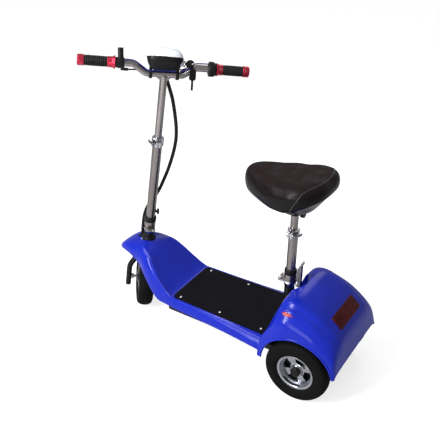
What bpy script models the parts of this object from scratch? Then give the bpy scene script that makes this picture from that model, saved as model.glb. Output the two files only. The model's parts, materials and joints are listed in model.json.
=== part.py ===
"""Folding electric tricycle with a front hub motor, in metres with Z up.

The front of the vehicle looks along -Y and its left side is +X. The steering
stands turned to the right, and everything above the front axle hangs on it.
"""

import math

import bmesh
import bpy
from mathutils import Matrix, Vector

# General clearances
GAP = 0.0003
RUNNING_GAP = 0.0006
WELD = 0.00001
FLAT_ANGLE = math.radians(0.4)
ROUND = 12
FINE_ROUND = 18

# Wheels
TYRE_R = 0.1125
TYRE_HALF_W = 0.029
BEAD_R = 0.060
BEAD_HALF_W = 0.0205
BEAD_GAP = 0.0008
RIM_FLANGE_R = 0.0645
RIM_FLANGE_T = 0.0022
TYRE_STEPS = 24
HUB_R = 0.0205
HUB_OUT = 0.012
HUB_IN = 0.020
BEARING_R = 0.016
BEARING_W = 0.010
AXLE_R = 0.0075
AXLE_SHOULDER_R = 0.0105
AXLE_NUT_R = 0.0115
HUB_CAP_R = 0.0165
HUB_CAP_DEPTH = 0.012
WINDOW_COUNT = 4
WINDOW_R_IN = 0.026
WINDOW_R_OUT = 0.050
WINDOW_TURN = math.radians(75)
MOTOR_R = 0.050
MOTOR_HALF_W = 0.024
MOTOR_AXLE_R = 0.005
MOTOR_NUT_R = 0.0098

# Chassis layout
WHEELBASE = 0.744
REAR_AXLE_Y = 0.357
REAR_TRACK = 0.306
FRONT_AXLE_Y = REAR_AXLE_Y - WHEELBASE
AXLE_Z = TYRE_R
DECK_Z = AXLE_Z + 0.055
MAT_T = 0.0032
SHELL_T = 0.003
RAMP_FOOT_Y = FRONT_AXLE_Y + 0.2124
DECK_END_Y = REAR_AXLE_Y - 0.142
MAT_FRONT_HALF = 0.1160
MAT_REAR_HALF = 0.1240
MAT_REST = 0.0006
RAIL_X = 0.055
RAIL_W = 0.022
RAIL_H = 0.036
RAIL_TOP_Z = DECK_Z - SHELL_T - GAP
PAN_HALF = 0.112
PAN_DRAFT = 0.006
PAN_BOTTOM_Z = AXLE_Z - 0.013
PAN_END_Y = REAR_AXLE_Y - 0.047

# Steering column, with heights measured along the column from the front axle
RAKE = math.radians(8.15)
STEER_TURN = math.radians(-49.8)
FORK_TUBE_R = 0.0107
FORK_LEG_X = 0.063
FORK_LEG_DROP = 0.038
CROWN_LEG_X = 0.037
CROWN_H = TYRE_R + 0.0065
CROWN_T = 0.0138
CROWN_HALF_W = 0.050
CROWN_HALF_D = 0.016
STEERER_R = 0.013
HEAD_R = 0.022
HEAD_BORE_R = 0.0185
HEAD_BOTTOM = CROWN_H + CROWN_T + RUNNING_GAP
HEAD_LENGTH = 0.048
HEAD_TOP = HEAD_BOTTOM + HEAD_LENGTH
HEADSET_T = 0.008
BOOT_R = 0.0245
BOOT_TOP_R = 0.0205
BOOT_LENGTH = 0.033
STEM_JOINT = HEAD_TOP + BOOT_LENGTH + 0.0285
GOOSENECK_R = 0.016

# Folding joint, used by the steering column and by the seat post
JOINT_CONE_R = 0.0165
JOINT_PLATE_R = 0.0212
JOINT_PLATE_T = 0.0075
JOINT_BLOCK_H = 0.0265
JOINT_HALF_W = 0.0185
HINGE_Y = 0.031
HINGE_EAR_R = 0.0078
HINGE_PIN_R = 0.004
KNUCKLE_HALF = 0.0070
EAR_OUT = 0.0160
LATCH_PIVOT_Y = 0.0325
LATCH_PIVOT_DROP = 0.0125
LATCH_LEVER_HALF = 0.0068
LATCH_LEVER_LENGTH = 0.096
LATCH_WALL = 0.0022
LATCH_EAR_HALF = LATCH_LEVER_HALF - LATCH_WALL - GAP
SLEEVE_LENGTH = 0.019
KNOB_R = 0.0110
KNOB_T = 0.0120

# Telescoping tubes
STEM_TUBE_R = 0.017
STEM_TUBE_BORE_R = 0.0145
STEM_TUBE_TOP = STEM_JOINT + 0.366
STEM_INNER_R = 0.0127
STEM_INNER_START = STEM_TUBE_TOP - 0.145
SEAT_TUBE_R = 0.0159
SEAT_TUBE_BORE_R = 0.0135
SEAT_INNER_R = 0.0127
COLLAR_WALL = 0.0042
COLLAR_H = 0.030
COLLAR_LIP = 0.008
COLLAR_EAR_W = 0.0080
COLLAR_EAR_LENGTH = 0.0155
COLLAR_SLOT = 0.0030
SKEWER_R = 0.0028
CLAMP_LEVER_T = 0.0110

# Handlebar, in the column's frame
BAR_R = 0.0111
BAR_MID = STEM_TUBE_TOP + 0.2365
BAR_RISE = 0.029
BAR_MID_HALF = 0.052
BAR_RISE_END = 0.108
BAR_HALF = 0.274
GRIP_R = 0.0165
GRIP_BORE_R = BAR_R + GAP
TURNING_BORE_R = BAR_R / math.cos(math.pi / ROUND) + GAP / 3
RING_R = 0.0185
GRIP_END_R = 0.0180
LEFT_RING_IN = 0.1575
LEFT_RING_OUT = 0.1830
RIGHT_HOUSING_IN = 0.1420
RIGHT_HOUSING_OUT = 0.1675
RIGHT_RING_OUT = 0.1885
END_RING_IN = 0.2560
END_RING_OUT = 0.2775
HOUSING_R = 0.0245
BRAKE_X = 0.133
BRAKE_TILT = math.radians(33)
BRAKE_REACH = 0.038
BRAKE_BLADE_HALF = 0.0033
BRAKE_FORK_HALF = 0.0066

# Display unit on the handlebar
UNIT_FRONT_OFFSET = -0.008
UNIT_HALF_W = 0.059
UNIT_HALF_D = 0.0375
UNIT_CLEAR = 0.0095
UNIT_BASE_H = 0.0345
UNIT_COVER_H = 0.0265
BRACKET_X = 0.0435
BRACKET_HALF_W = 0.0050
BRACKET_R = 0.0158
LAMP_R = 0.0165
KEY_BARREL_R = 0.0088
KEY_HEAD_R = 0.0142
KEY_T = 0.0023
KEY_Y = 0.012
KEY_UP = BAR_R + UNIT_CLEAR + 0.025
KEY_PLUG_R = 0.0046
KEY_PLUG_LENGTH = 0.0125
KEY_HEAD_UP = KEY_HEAD_R + 0.0012
KEY_RING_UP = KEY_HEAD_UP + 0.0092
KEY_HOLE_R = 0.0046
SPARE_LEAN = math.radians(27)

# Seat post and saddle
SEAT_POST_Y = REAR_AXLE_Y - 0.122
SEAT_JOINT_Z = DECK_Z + 0.167
SEAT_BASE_R = 0.0175
SEAT_TUBE_TOP = SEAT_JOINT_Z + 0.193
SEAT_INNER_START = SEAT_TUBE_TOP - 0.125
SADDLE_Z = SEAT_TUBE_TOP + 0.086
SADDLE_NOSE = 0.180
SADDLE_TAIL = 0.122
SADDLE_HALF_W = 0.130
SADDLE_THICK = 0.094
SADDLE_NOSE_UP = -0.007
SADDLE_DIP = -0.0170
SADDLE_CLIMB = 0.0370
SADDLE_TUCK = 0.046
SADDLE_PAN_H = 0.012
SADDLE_SOCKET_R = 0.0165
SADDLE_SOCKET_H = 0.028

# Body panels
NOSE_REACH = 0.0910
COWL_LIFT = 0.0032
SKIRT_Z = AXLE_Z + 0.0175
ARCH_GAP = 0.0145
HOOD_FRONT = 0.143
HOOD_HEIGHT = 0.2360
HOOD_TAIL = 0.1355
POST_RECESS_R = 0.044
LAMP_ALONG = 0.0860
LAMP_SLOPE = math.radians(42)
MARKER_X = 0.1505
MARKER_ALONG = -0.0520
MARKER_DROP = 0.0372
TAIL_LAMP_HALF_W = 0.0775
TAIL_LAMP_HALF_H = 0.0245
TAIL_LAMP_T = 0.0085
MARKER_LENGTH = 0.040
MARKER_HEIGHT = 0.014

# The hood's profile on its middle line, as (distance behind the rear axle,
# height over it), and its cross section, as half widths and shares of height
HOOD_PROFILE = [
    (-HOOD_FRONT, 0.0630),
    (-0.130, 0.1020),
    (-0.117, 0.1400),
    (-0.099, 0.1960),
    (-0.082, HOOD_HEIGHT - 0.0095),
    (-0.048, HOOD_HEIGHT),
    (-0.010, HOOD_HEIGHT - 0.0085),
    (0.030, HOOD_HEIGHT - 0.0245),
    (0.068, HOOD_HEIGHT - 0.0490),
    (0.104, HOOD_HEIGHT - 0.0815),
    (0.124, HOOD_HEIGHT - 0.1190),
    (HOOD_TAIL, 0.0470),
]
HOOD_ACROSS = [0.0, 0.080, 0.116, 0.131, 0.143, 0.158, 0.172, 0.181, 0.1842, 0.1845]
HOOD_DOWN = [1.0, 0.995, 0.965, 0.900, 0.875, 0.800, 0.690, 0.500, 0.250, 0.0]

# Wiring. The loom leaves the display unit, bows out to the right of the
# column and goes down in front of it into the cowl.
LOOM_R = 0.0065
LOOM_PAN_X = 0.029
LOOM_ENTRY_ACROSS = 0.0225
LOOM_ENTRY_FRONT = -0.0280
LOOM_ROUTE = [
    (-0.0010, -0.0240, BAR_MID + BAR_R + UNIT_CLEAR - 0.0008),
    (-0.0030, -0.0245, BAR_MID + 0.006),
    (-0.0090, -0.0255, BAR_MID - 0.016),
    (-0.026, -0.024, BAR_MID - 0.060),
    (-0.041, -0.021, BAR_MID - 0.104),
    (-0.058, -0.020, BAR_MID - 0.180),
    (-0.0645, -0.020, BAR_MID - 0.235),
    (-0.0620, -0.021, BAR_MID - 0.290),
    (-0.0510, -0.023, BAR_MID - 0.360),
    (-0.0370, -0.026, BAR_MID - 0.418),
]
LOOM_MIDDLE = [
    LOOM_ROUTE[-1],
    (-0.0250, -0.029, BAR_MID - 0.460),
    (-0.0040, -0.0305, BAR_MID - 0.508),
    (0.0130, -0.0305, BAR_MID - 0.540),
    (0.0205, -0.0290, BAR_MID - 0.572),
    (LOOM_ENTRY_ACROSS, LOOM_ENTRY_FRONT, BAR_MID - 0.603),
]
CABLE_R = 0.0025
WIRE_R = 0.0020

# Colours: name, base colour, roughness, metallic
FINISHES = {
    "blue_plastic": ((0.020, 0.055, 0.640), 0.22, 0.0),
    "black_plastic": ((0.012, 0.012, 0.013), 0.45, 0.0),
    "black_paint": ((0.010, 0.010, 0.011), 0.30, 0.0),
    "tyre_rubber": ((0.014, 0.014, 0.014), 0.85, 0.0),
    "mat_rubber": ((0.010, 0.010, 0.011), 0.75, 0.0),
    "vinyl": ((0.008, 0.008, 0.009), 0.38, 0.0),
    "chrome": ((0.78, 0.78, 0.80), 0.10, 1.0),
    "satin_tube": ((0.46, 0.45, 0.44), 0.32, 1.0),
    "steel": ((0.42, 0.42, 0.43), 0.35, 1.0),
    "white_plastic": ((0.86, 0.88, 0.90), 0.25, 0.0),
    "red_lens": ((0.420, 0.012, 0.010), 0.12, 0.0),
    "clear_lens": ((0.80, 0.83, 0.86), 0.05, 0.0),
    "grip_rubber": ((0.014, 0.014, 0.015), 0.60, 0.0),
    "cable_black": ((0.012, 0.012, 0.014), 0.60, 0.0),
    "wire_blue": ((0.020, 0.020, 0.160), 0.50, 0.0),
    "battery_case": ((0.05, 0.05, 0.055), 0.55, 0.0),
}


def clear_scene():
    """Remove whatever the scene holds."""
    for old in list(bpy.data.objects):
        bpy.data.objects.remove(old, do_unlink=True)


def finish_named(name):
    """The material of one finish, made once."""
    material = bpy.data.materials.get(name)
    if material:
        return material
    colour, roughness, metallic = FINISHES[name]
    material = bpy.data.materials.new(name)
    material.use_nodes = True
    shader = material.node_tree.nodes["Principled BSDF"]
    shader.inputs["Base Color"].default_value = (*colour, 1.0)
    shader.inputs["Roughness"].default_value = roughness
    shader.inputs["Metallic"].default_value = metallic
    return material


def pivot(name, parent=None, location=(0, 0, 0), rotation=(0, 0, 0)):
    """An empty that stands on a joint or on a carrier's own axis."""
    empty = bpy.data.objects.new(name, None)
    bpy.context.collection.objects.link(empty)
    empty.parent = parent
    empty.location = location
    empty.rotation_euler = rotation
    return empty


def tidied(bm):
    """Weld twin points, drop slivers, and open flat fans into single faces."""
    bmesh.ops.remove_doubles(bm, verts=bm.verts, dist=WELD)
    bmesh.ops.dissolve_degenerate(bm, dist=WELD * 5, edges=bm.edges)
    bmesh.ops.dissolve_limit(
        bm,
        angle_limit=FLAT_ANGLE,
        use_dissolve_boundaries=False,
        verts=bm.verts,
        edges=bm.edges,
        delimit=set(),
    )
    bmesh.ops.recalc_face_normals(bm, faces=bm.faces)
    if bm.calc_volume(signed=True) < 0:
        bmesh.ops.reverse_faces(bm, faces=bm.faces)


def from_bmesh(name, bm):
    """Tidy and link the mesh that a builder made."""
    tidied(bm)
    mesh = bpy.data.meshes.new(name)
    bm.to_mesh(mesh)
    bm.free()
    piece = bpy.data.objects.new(name, mesh)
    bpy.context.collection.objects.link(piece)
    return piece


def settle(piece, finish, parent=None, location=(0, 0, 0), rotation=(0, 0, 0), sharp=35):
    """Give a finished piece its material, its carrier and its place."""
    mesh = piece.data
    mesh.materials.clear()
    mesh.materials.append(finish_named(finish))
    mesh.shade_smooth()
    mesh.set_sharp_from_angle(angle=math.radians(sharp))
    piece.parent = parent
    piece.location = location
    piece.rotation_euler = rotation
    return piece


def moved(piece, matrix):
    """Move the mesh itself, so that the object's origin stays where it is."""
    piece.data.transform(matrix)
    return piece


def shift(x=0.0, y=0.0, z=0.0):
    """A plain move."""
    return Matrix.Translation((x, y, z))


def turn(degrees, axis):
    """A turn about one axis."""
    return Matrix.Rotation(math.radians(degrees), 4, axis)


def baked(piece):
    """Replace a piece's mesh with what its modifiers make of it."""
    graph = bpy.context.evaluated_depsgraph_get()
    mesh = bpy.data.meshes.new_from_object(piece.evaluated_get(graph))
    piece.modifiers.clear()
    piece.data = mesh
    return piece


def boolean(piece, tools, operation):
    """Join or cut a piece with tools, which are used up."""
    for tool in tools:
        modifier = piece.modifiers.new(operation.lower(), "BOOLEAN")
        modifier.operation = operation
        modifier.solver = "EXACT"
        modifier.object = tool
        baked(piece)
        bm = bmesh.new()
        bm.from_mesh(piece.data)
        tidied(bm)
        bm.to_mesh(piece.data)
        bm.free()
        bpy.data.objects.remove(tool, do_unlink=True)
    return piece


def join(piece, *tools):
    """Weld tools onto a piece."""
    return boolean(piece, tools, "UNION")


def cut(piece, *tools):
    """Take tools out of a piece."""
    return boolean(piece, tools, "DIFFERENCE")


def soften(piece, width, angle=40):
    """Round the edges that are sharper than an angle."""
    bevel = piece.modifiers.new("soft edges", "BEVEL")
    bevel.width = width
    bevel.segments = 1
    bevel.limit_method = "ANGLE"
    bevel.angle_limit = math.radians(angle)
    return baked(piece)


def turned(name, outline, steps=ROUND):
    """A solid turned about Z from a closed outline of (radius, height)."""
    bm = bmesh.new()
    ring = [bm.verts.new((radius, 0.0, height)) for radius, height in outline]
    edges = []
    for first, second in zip(ring, ring[1:] + ring[:1]):
        if first.co.x or second.co.x:
            edges.append(bm.edges.new((first, second)))
    bmesh.ops.spin(
        bm,
        geom=ring + edges,
        cent=(0, 0, 0),
        axis=(0, 0, 1),
        dvec=(0, 0, 0),
        angle=math.tau,
        steps=steps,
        use_merge=True,
    )
    return from_bmesh(name, bm)


def disc(name, radius, low, high, steps=ROUND):
    """A plain round bar along Z."""
    return turned(name, [(0, low), (radius, low), (radius, high), (0, high)], steps)


def ring(name, outer, inner, low, high, steps=ROUND):
    """A plain ring along Z."""
    return turned(name, [(inner, low), (outer, low), (outer, high), (inner, high)], steps)


def rod(name, start, end, radius, steps=ROUND):
    """A round bar between two points."""
    start = Vector(start)
    way = Vector(end) - start
    piece = disc(name, radius, 0.0, way.length, steps)
    return moved(piece, shift(*start) @ way.to_track_quat("Z", "Y").to_matrix().to_4x4())


def slab(name, low, high):
    """A box between two corners."""
    bm = bmesh.new()
    bmesh.ops.create_cube(bm, size=1.0)
    low, high = Vector(low), Vector(high)
    for vert in bm.verts:
        for axis in range(3):
            vert.co[axis] = high[axis] if vert.co[axis] > 0 else low[axis]
    return from_bmesh(name, bm)


def prism(name, outline, low, high):
    """A flat outline of (x, y) given a thickness along Z."""
    bm = bmesh.new()
    face = bm.faces.new([bm.verts.new((x, y, low)) for x, y in outline])
    raised = bmesh.ops.extrude_face_region(bm, geom=[face])["geom"]
    verts = [item for item in raised if isinstance(item, bmesh.types.BMVert)]
    bmesh.ops.translate(bm, verts=verts, vec=(0, 0, high - low))
    return from_bmesh(name, bm)


def side_prism(name, outline, low, high):
    """A flat outline of (y, z) given a thickness along X."""
    piece = prism(name, [(-z, y) for y, z in outline], low, high)
    return moved(piece, turn(90, "Y"))


def arc(centre, radius, start, end, count):
    """Flat points round a centre, with angles in degrees."""
    points = []
    for step in range(count + 1):
        angle = math.radians(start + (end - start) * step / count)
        points.append((centre[0] + radius * math.cos(angle), centre[1] + radius * math.sin(angle)))
    return points


def lofted(name, sections, closed=True, lid=False):
    """Skin through sections of equal point counts, with its ends or a lid filled."""
    bm = bmesh.new()
    rows = [[bm.verts.new(point) for point in section] for section in sections]
    count = len(rows[0])
    spans = count if closed else count - 1
    for lower, upper in zip(rows, rows[1:]):
        for i in range(spans):
            j = (i + 1) % count
            bm.faces.new((lower[i], lower[j], upper[j], upper[i]))
    if closed or lid:
        bm.faces.new(list(reversed(rows[0])))
    if closed:
        bm.faces.new(rows[-1])
    return from_bmesh(name, bm)


def smooth(points, count):
    """Points along a smooth curve that passes through the given ones."""
    known = [Vector(point) for point in points]
    ends = [known[0] * 2 - known[1], *known, known[-1] * 2 - known[-2]]
    spans = len(known) - 1
    result = []
    for step in range(count):
        place = step * spans / (count - 1)
        first = min(int(place), spans - 1)
        t = place - first
        p0, p1, p2, p3 = ends[first : first + 4]
        bend = (p2 - p0) * t + (p0 * 2 - p1 * 5 + p2 * 4 - p3) * t**2
        bend += (p1 * 3 - p0 - p2 * 3 + p3) * t**3
        result.append(p1 + bend * 0.5)
    return result


def piped(name, points, radius, sides=ROUND):
    """A round tube with closed ends along points."""
    curve = bpy.data.curves.new(name, "CURVE")
    curve.dimensions = "3D"
    curve.bevel_depth = radius
    curve.bevel_resolution = sides // 2 - 2
    curve.use_fill_caps = True
    spline = curve.splines.new("POLY")
    spline.points.add(len(points) - 1)
    for target, point in zip(spline.points, points):
        target.co = (*point, 1.0)
    carrier = bpy.data.objects.new(name, curve)
    bpy.context.collection.objects.link(carrier)
    graph = bpy.context.evaluated_depsgraph_get()
    mesh = bpy.data.meshes.new_from_object(carrier.evaluated_get(graph))
    bm = bmesh.new()
    bm.from_mesh(mesh)
    bpy.data.objects.remove(carrier, do_unlink=True)
    return from_bmesh(name, bm)


def rounded_box(half_x, half_y, corner, z, offset_y=0.0, arc=3):
    """Points of a rectangle with round corners at one height."""
    points = []
    for quarter in range(4):
        cx = (half_x - corner) * (1, -1, -1, 1)[quarter]
        cy = (half_y - corner) * (1, 1, -1, -1)[quarter]
        for step in range(arc + 1):
            angle = math.pi / 2 * (quarter + step / arc)
            x = cx + corner * math.cos(angle)
            y = cy + corner * math.sin(angle)
            points.append((x, y + offset_y, z))
    return points


def plan(points):
    """The flat outline of section points."""
    return [(x, y) for x, y, z in points]


# Wheels


def tyre(name, parent):
    """A tubed tyre with a flat tread and rounded shoulders."""
    side = [
        (BEAD_R, BEAD_HALF_W),
        (RIM_FLANGE_R + 0.0015, BEAD_HALF_W),
        (TYRE_R * 0.66, TYRE_HALF_W * 0.915),
        (TYRE_R * 0.80, TYRE_HALF_W),
        (TYRE_R * 0.935, TYRE_HALF_W * 0.84),
        (TYRE_R, TYRE_HALF_W * 0.34),
    ]
    outline = [(radius, -half) for radius, half in side] + side[::-1]
    return settle(turned(name, outline, TYRE_STEPS), "tyre_rubber", parent)


def rim_flange(sign):
    """The rim's lip on one side, from the barrel to its outer edge."""
    seat = BEAD_R - BEAD_GAP
    face = BEAD_HALF_W + GAP
    return [
        (seat, sign * face),
        (RIM_FLANGE_R, sign * (face + 0.0001)),
        (RIM_FLANGE_R, sign * (face + RIM_FLANGE_T)),
        (seat - 0.0030, sign * (face + RIM_FLANGE_T * 0.5)),
    ]


def window_cutter(number):
    """One of the openings through the wheel's dished disc."""
    middle = WINDOW_TURN + math.tau * number / WINDOW_COUNT
    spread = math.radians(54)
    outline = []
    for step in range(5):
        angle = middle + spread * (step / 4 - 0.5)
        outline.append((WINDOW_R_OUT * math.cos(angle), WINDOW_R_OUT * math.sin(angle)))
    for step in range(4):
        angle = middle - spread * 0.86 * (step / 3 - 0.5)
        outline.append((WINDOW_R_IN * math.cos(angle), WINDOW_R_IN * math.sin(angle)))
    return prism("window", outline, -HUB_IN, HUB_IN)


def rear_rim(name, parent):
    """A chrome rim with a dished disc, four windows and a bearing bore."""
    barrel_in = BEAD_R - BEAD_GAP - 0.0032
    bore = BEARING_R + GAP
    web = 0.0032
    outline = [
        *rim_flange(-1),
        (barrel_in, -BEAD_HALF_W + 0.002),
        (barrel_in, 0.0),
        (HUB_R + 0.006, HUB_OUT - 0.008),
        (HUB_R, HUB_OUT - 0.012),
        (HUB_R - 0.004, -HUB_IN),
        (AXLE_R + 0.003, -HUB_IN),
        (AXLE_R + 0.003, HUB_OUT - BEARING_W - 0.004),
        (bore, HUB_OUT - BEARING_W - 0.004),
        (bore, HUB_OUT),
        (HUB_R, HUB_OUT),
        (HUB_R + 0.006, HUB_OUT - 0.008 + web),
        (barrel_in, web),
        (barrel_in, BEAD_HALF_W - 0.002),
        *reversed(rim_flange(1)),
    ]
    piece = turned(name, outline, FINE_ROUND)
    cut(piece, *[window_cutter(number) for number in range(WINDOW_COUNT)])
    return settle(piece, "chrome", parent)


def wheel_bearing(name, parent):
    """A sealed ball bearing in the wheel's hub."""
    low = HUB_OUT - BEARING_W - 0.004 + GAP
    piece = ring(name, BEARING_R, AXLE_R + GAP, low, low + BEARING_W)
    return settle(piece, "steel", parent)


def hub_cap(name, parent):
    """A black cup over the axle nut."""
    low = HUB_OUT + GAP
    high = low + HUB_CAP_DEPTH
    wall = 0.0018
    outline = [
        (HUB_CAP_R - wall, low),
        (HUB_CAP_R, low),
        (HUB_CAP_R, high - 0.004),
        (HUB_CAP_R - 0.003, high - 0.001),
        (0, high),
        (0, high - wall),
        (HUB_CAP_R - wall - 0.002, high - wall - 0.001),
    ]
    return settle(turned(name, outline), "black_plastic", parent)


def rear_wheel(side, parent):
    """All that turns on one end of the rear axle."""
    for build, kind in (
        (tyre, "tyre_rear_"),
        (rear_rim, "rim_rear_"),
        (wheel_bearing, "bearing_rear_"),
        (hub_cap, "hub_cap_rear_"),
    ):
        build(kind + side, parent)


def rear_axle(parent):
    """The fixed rear axle with its shoulders and end nuts."""
    half_track = REAR_TRACK / 2
    shoulder = half_track - HUB_IN - RUNNING_GAP
    nut_in = half_track + HUB_OUT - 0.0030
    nut_out = half_track + HUB_OUT + HUB_CAP_DEPTH - 0.0045
    piece = rod("rear_axle", (-nut_out, 0, 0), (nut_out, 0, 0), AXLE_R, 12)
    for sign in (-1, 1):
        collar_in = (sign * (shoulder - 0.010), 0, 0)
        collar = rod("collar", collar_in, (sign * shoulder, 0, 0), AXLE_SHOULDER_R, 12)
        nut = rod("nut", (sign * nut_in, 0, 0), (sign * (nut_out - 0.002), 0, 0), AXLE_NUT_R, 6)
        join(piece, collar, nut)
    return settle(piece, "steel", parent)


def hub_motor(parent):
    """The black motor case, with the rim's flanges as one casting."""
    low_r = MOTOR_AXLE_R + RUNNING_GAP
    outline = [
        (BEAD_R - BEAD_GAP, -BEAD_HALF_W - GAP),
        (RIM_FLANGE_R, -BEAD_HALF_W - GAP - 0.0001),
        (RIM_FLANGE_R, -BEAD_HALF_W - GAP - RIM_FLANGE_T),
        (MOTOR_R + 0.005, -BEAD_HALF_W - GAP - 0.001),
        (MOTOR_R, -MOTOR_HALF_W),
        (0.022, -MOTOR_HALF_W - 0.003),
        (0.016, -MOTOR_HALF_W - 0.007),
        (low_r, -MOTOR_HALF_W - 0.007),
    ]
    outline += [(radius, -height) for radius, height in reversed(outline)]
    return settle(turned("hub_motor", outline, FINE_ROUND), "black_paint", parent)


def motor_axle(parent):
    """The motor's fixed axle, flush in the legs, with its washers and lock nuts."""
    face = FORK_LEG_X - FORK_TUBE_R - GAP
    washer_t = 0.0022
    nut_t = 0.0065
    end = FORK_LEG_X + FORK_TUBE_R - 0.0012
    piece = rod("motor_axle", (-end, 0, 0), (end, 0, 0), MOTOR_AXLE_R, 12)
    for sign in (-1, 1):
        inner = face - washer_t
        washer = rod("washer", (sign * inner, 0, 0), (sign * face, 0, 0), MOTOR_NUT_R + 0.0012, 12)
        nut = rod("nut", (sign * (inner - nut_t), 0, 0), (sign * (inner + 0.001), 0, 0), MOTOR_NUT_R, 6)
        join(piece, washer, nut)
    return settle(piece, "steel", parent)


# Fork and headset


def fork_leg(sign):
    """One bent tube of the fork."""
    tuck = CROWN_H - 0.019
    route = [
        (FORK_LEG_X, 0, -FORK_LEG_DROP),
        (FORK_LEG_X, 0, tuck - 0.062),
        (FORK_LEG_X - 0.0025, 0, tuck - 0.044),
        (FORK_LEG_X - 0.0090, 0, tuck - 0.029),
        (CROWN_LEG_X + 0.0090, 0, tuck - 0.015),
        (CROWN_LEG_X + 0.0045, 0, tuck),
        (CROWN_LEG_X, 0, CROWN_H + CROWN_T * 0.5),
    ]
    route = [(sign * x, y, z) for x, y, z in route]
    return piped("leg", smooth(route, 11), FORK_TUBE_R, 10)


def fork(parent):
    """Two bent legs, a crown and the steerer, welded into one."""
    corner = rounded_box(CROWN_HALF_W, CROWN_HALF_D, 0.010, 0.0)
    piece = prism("fork", plan(corner), CROWN_H, CROWN_H + CROWN_T)
    steerer_top = STEM_JOINT - JOINT_BLOCK_H + 0.010
    steerer = disc("steerer", STEERER_R, CROWN_H + 0.002, steerer_top)
    join(piece, fork_leg(1), fork_leg(-1), steerer)
    bore = rod("bore", (-0.1, 0, 0), (0.1, 0, 0), MOTOR_AXLE_R + GAP, 16)
    cut(piece, bore)
    return settle(piece, "black_paint", parent)


def headset_ring(name, parent, low):
    """One of the two bearings between the head tube and the steerer."""
    piece = ring(name, HEAD_BORE_R - GAP, STEERER_R + RUNNING_GAP, low, low + HEADSET_T)
    return settle(piece, "steel", parent)


def column_boot(parent):
    """The black tapered collar round the steerer above the cowl."""
    low = HEAD_TOP + RUNNING_GAP
    outline = [
        (STEERER_R + GAP, low),
        (BOOT_R, low),
        (BOOT_R, low + 0.010),
        (BOOT_TOP_R, low + 0.016),
        (BOOT_TOP_R, low + BOOT_LENGTH - 0.002),
        (BOOT_TOP_R - 0.002, low + BOOT_LENGTH),
        (STEERER_R + GAP, low + BOOT_LENGTH),
    ]
    return settle(turned("column_boot", outline), "black_plastic", parent)


# Folding joint, with its hinge at +Y and its latch at -Y


def joint_plate(low, high):
    """The flat plate where the two halves of a folding joint meet."""
    outline = []
    for step in range(9):
        angle = math.pi + math.pi * step / 8
        outline.append((JOINT_HALF_W * math.cos(angle), JOINT_HALF_W * math.sin(angle) - 0.004))
    rear = HINGE_Y - HINGE_EAR_R - 0.0008
    corner = EAR_OUT - 0.0006
    outline += [(JOINT_HALF_W, rear - 0.006), (corner, rear), (-corner, rear), (-JOINT_HALF_W, rear - 0.006)]
    return prism("plate", outline, low, high)


def hinge_lug(x_low, x_high, side):
    """A rounded lug about the hinge pin; side is -1 for the lower half."""
    near = side * (GAP + 0.0005)
    far = side * HINGE_EAR_R
    outline = [(0.012, near), (0.012, far)]
    outline += arc((HINGE_Y, 0.0), HINGE_EAR_R, side * 90, -side * 180, 9)
    outline.append((HINGE_Y - HINGE_EAR_R, near))
    return side_prism("lug", outline, x_low, x_high)


def fold_base(name, parent, location, socket_r, rotation=(0, 0, 0)):
    """The lower half of a folding joint, clamped on the tube below it."""
    outline = [
        (0, -JOINT_BLOCK_H),
        (JOINT_CONE_R, -JOINT_BLOCK_H),
        (JOINT_CONE_R + 0.002, -JOINT_BLOCK_H + 0.004),
        (JOINT_PLATE_R, -JOINT_PLATE_T - 0.003),
        (JOINT_PLATE_R, -JOINT_PLATE_T + 0.002),
        (0, -JOINT_PLATE_T + 0.002),
    ]
    piece = turned(name, outline)
    join(piece, joint_plate(-JOINT_PLATE_T, -GAP))
    for sign in (-1, 1):
        inner, outer = sorted((sign * (KNUCKLE_HALF + GAP), sign * EAR_OUT))
        join(piece, hinge_lug(inner, outer, -1))
    ear_drop = -LATCH_PIVOT_DROP
    ear_r = 0.0050
    ear = [(-0.012, ear_drop - ear_r), (-0.012, ear_drop + ear_r)]
    ear += arc((-LATCH_PIVOT_Y, ear_drop), ear_r, 90, 270, 7)
    join(piece, side_prism("ear", ear, -LATCH_EAR_HALF, LATCH_EAR_HALF))
    pin_hole = rod("hole", (-0.05, HINGE_Y, 0), (0.05, HINGE_Y, 0), HINGE_PIN_R + GAP, 16)
    socket = disc("socket", socket_r + GAP, -JOINT_BLOCK_H - 0.01, -JOINT_BLOCK_H + 0.0103)
    hole_at = -LATCH_PIVOT_Y
    latch_hole = rod("hole", (-0.05, hole_at, ear_drop), (0.05, hole_at, ear_drop), 0.0023, 10)
    cut(piece, pin_hole, socket, latch_hole)
    return settle(piece, "chrome", parent, location, rotation)


def fold_head(name, tube_r, bore_r, tube_top):
    """The upper half of a folding joint with its tube, about the split plane."""
    outline = [
        (0, JOINT_PLATE_T - 0.002),
        (JOINT_PLATE_R, JOINT_PLATE_T - 0.002),
        (JOINT_PLATE_R, JOINT_PLATE_T + 0.003),
        (tube_r + 0.0025, JOINT_BLOCK_H),
        (0, JOINT_BLOCK_H),
    ]
    piece = turned(name, outline)
    join(piece, joint_plate(GAP, JOINT_PLATE_T))
    join(piece, hinge_lug(-KNUCKLE_HALF, KNUCKLE_HALF, 1))
    tube = disc("tube", tube_r, JOINT_BLOCK_H - 0.010, tube_top)
    join(piece, tube, fold_sleeve(tube_r))
    bore = disc("bore", bore_r, JOINT_BLOCK_H - 0.006, tube_top + 0.01)
    pin_hole = rod("hole", (-0.05, HINGE_Y, 0), (0.05, HINGE_Y, 0), HINGE_PIN_R + GAP, 16)
    return cut(piece, bore, pin_hole)


def fold_sleeve(tube_r):
    """The sleeve over the weld above a folding joint."""
    low = JOINT_BLOCK_H - 0.001
    outline = [
        (0, low),
        (tube_r + 0.0040, low),
        (tube_r + 0.0040, low + SLEEVE_LENGTH - 0.003),
        (tube_r + 0.0020, low + SLEEVE_LENGTH),
        (0, low + SLEEVE_LENGTH),
    ]
    return turned("sleeve", outline)


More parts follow.
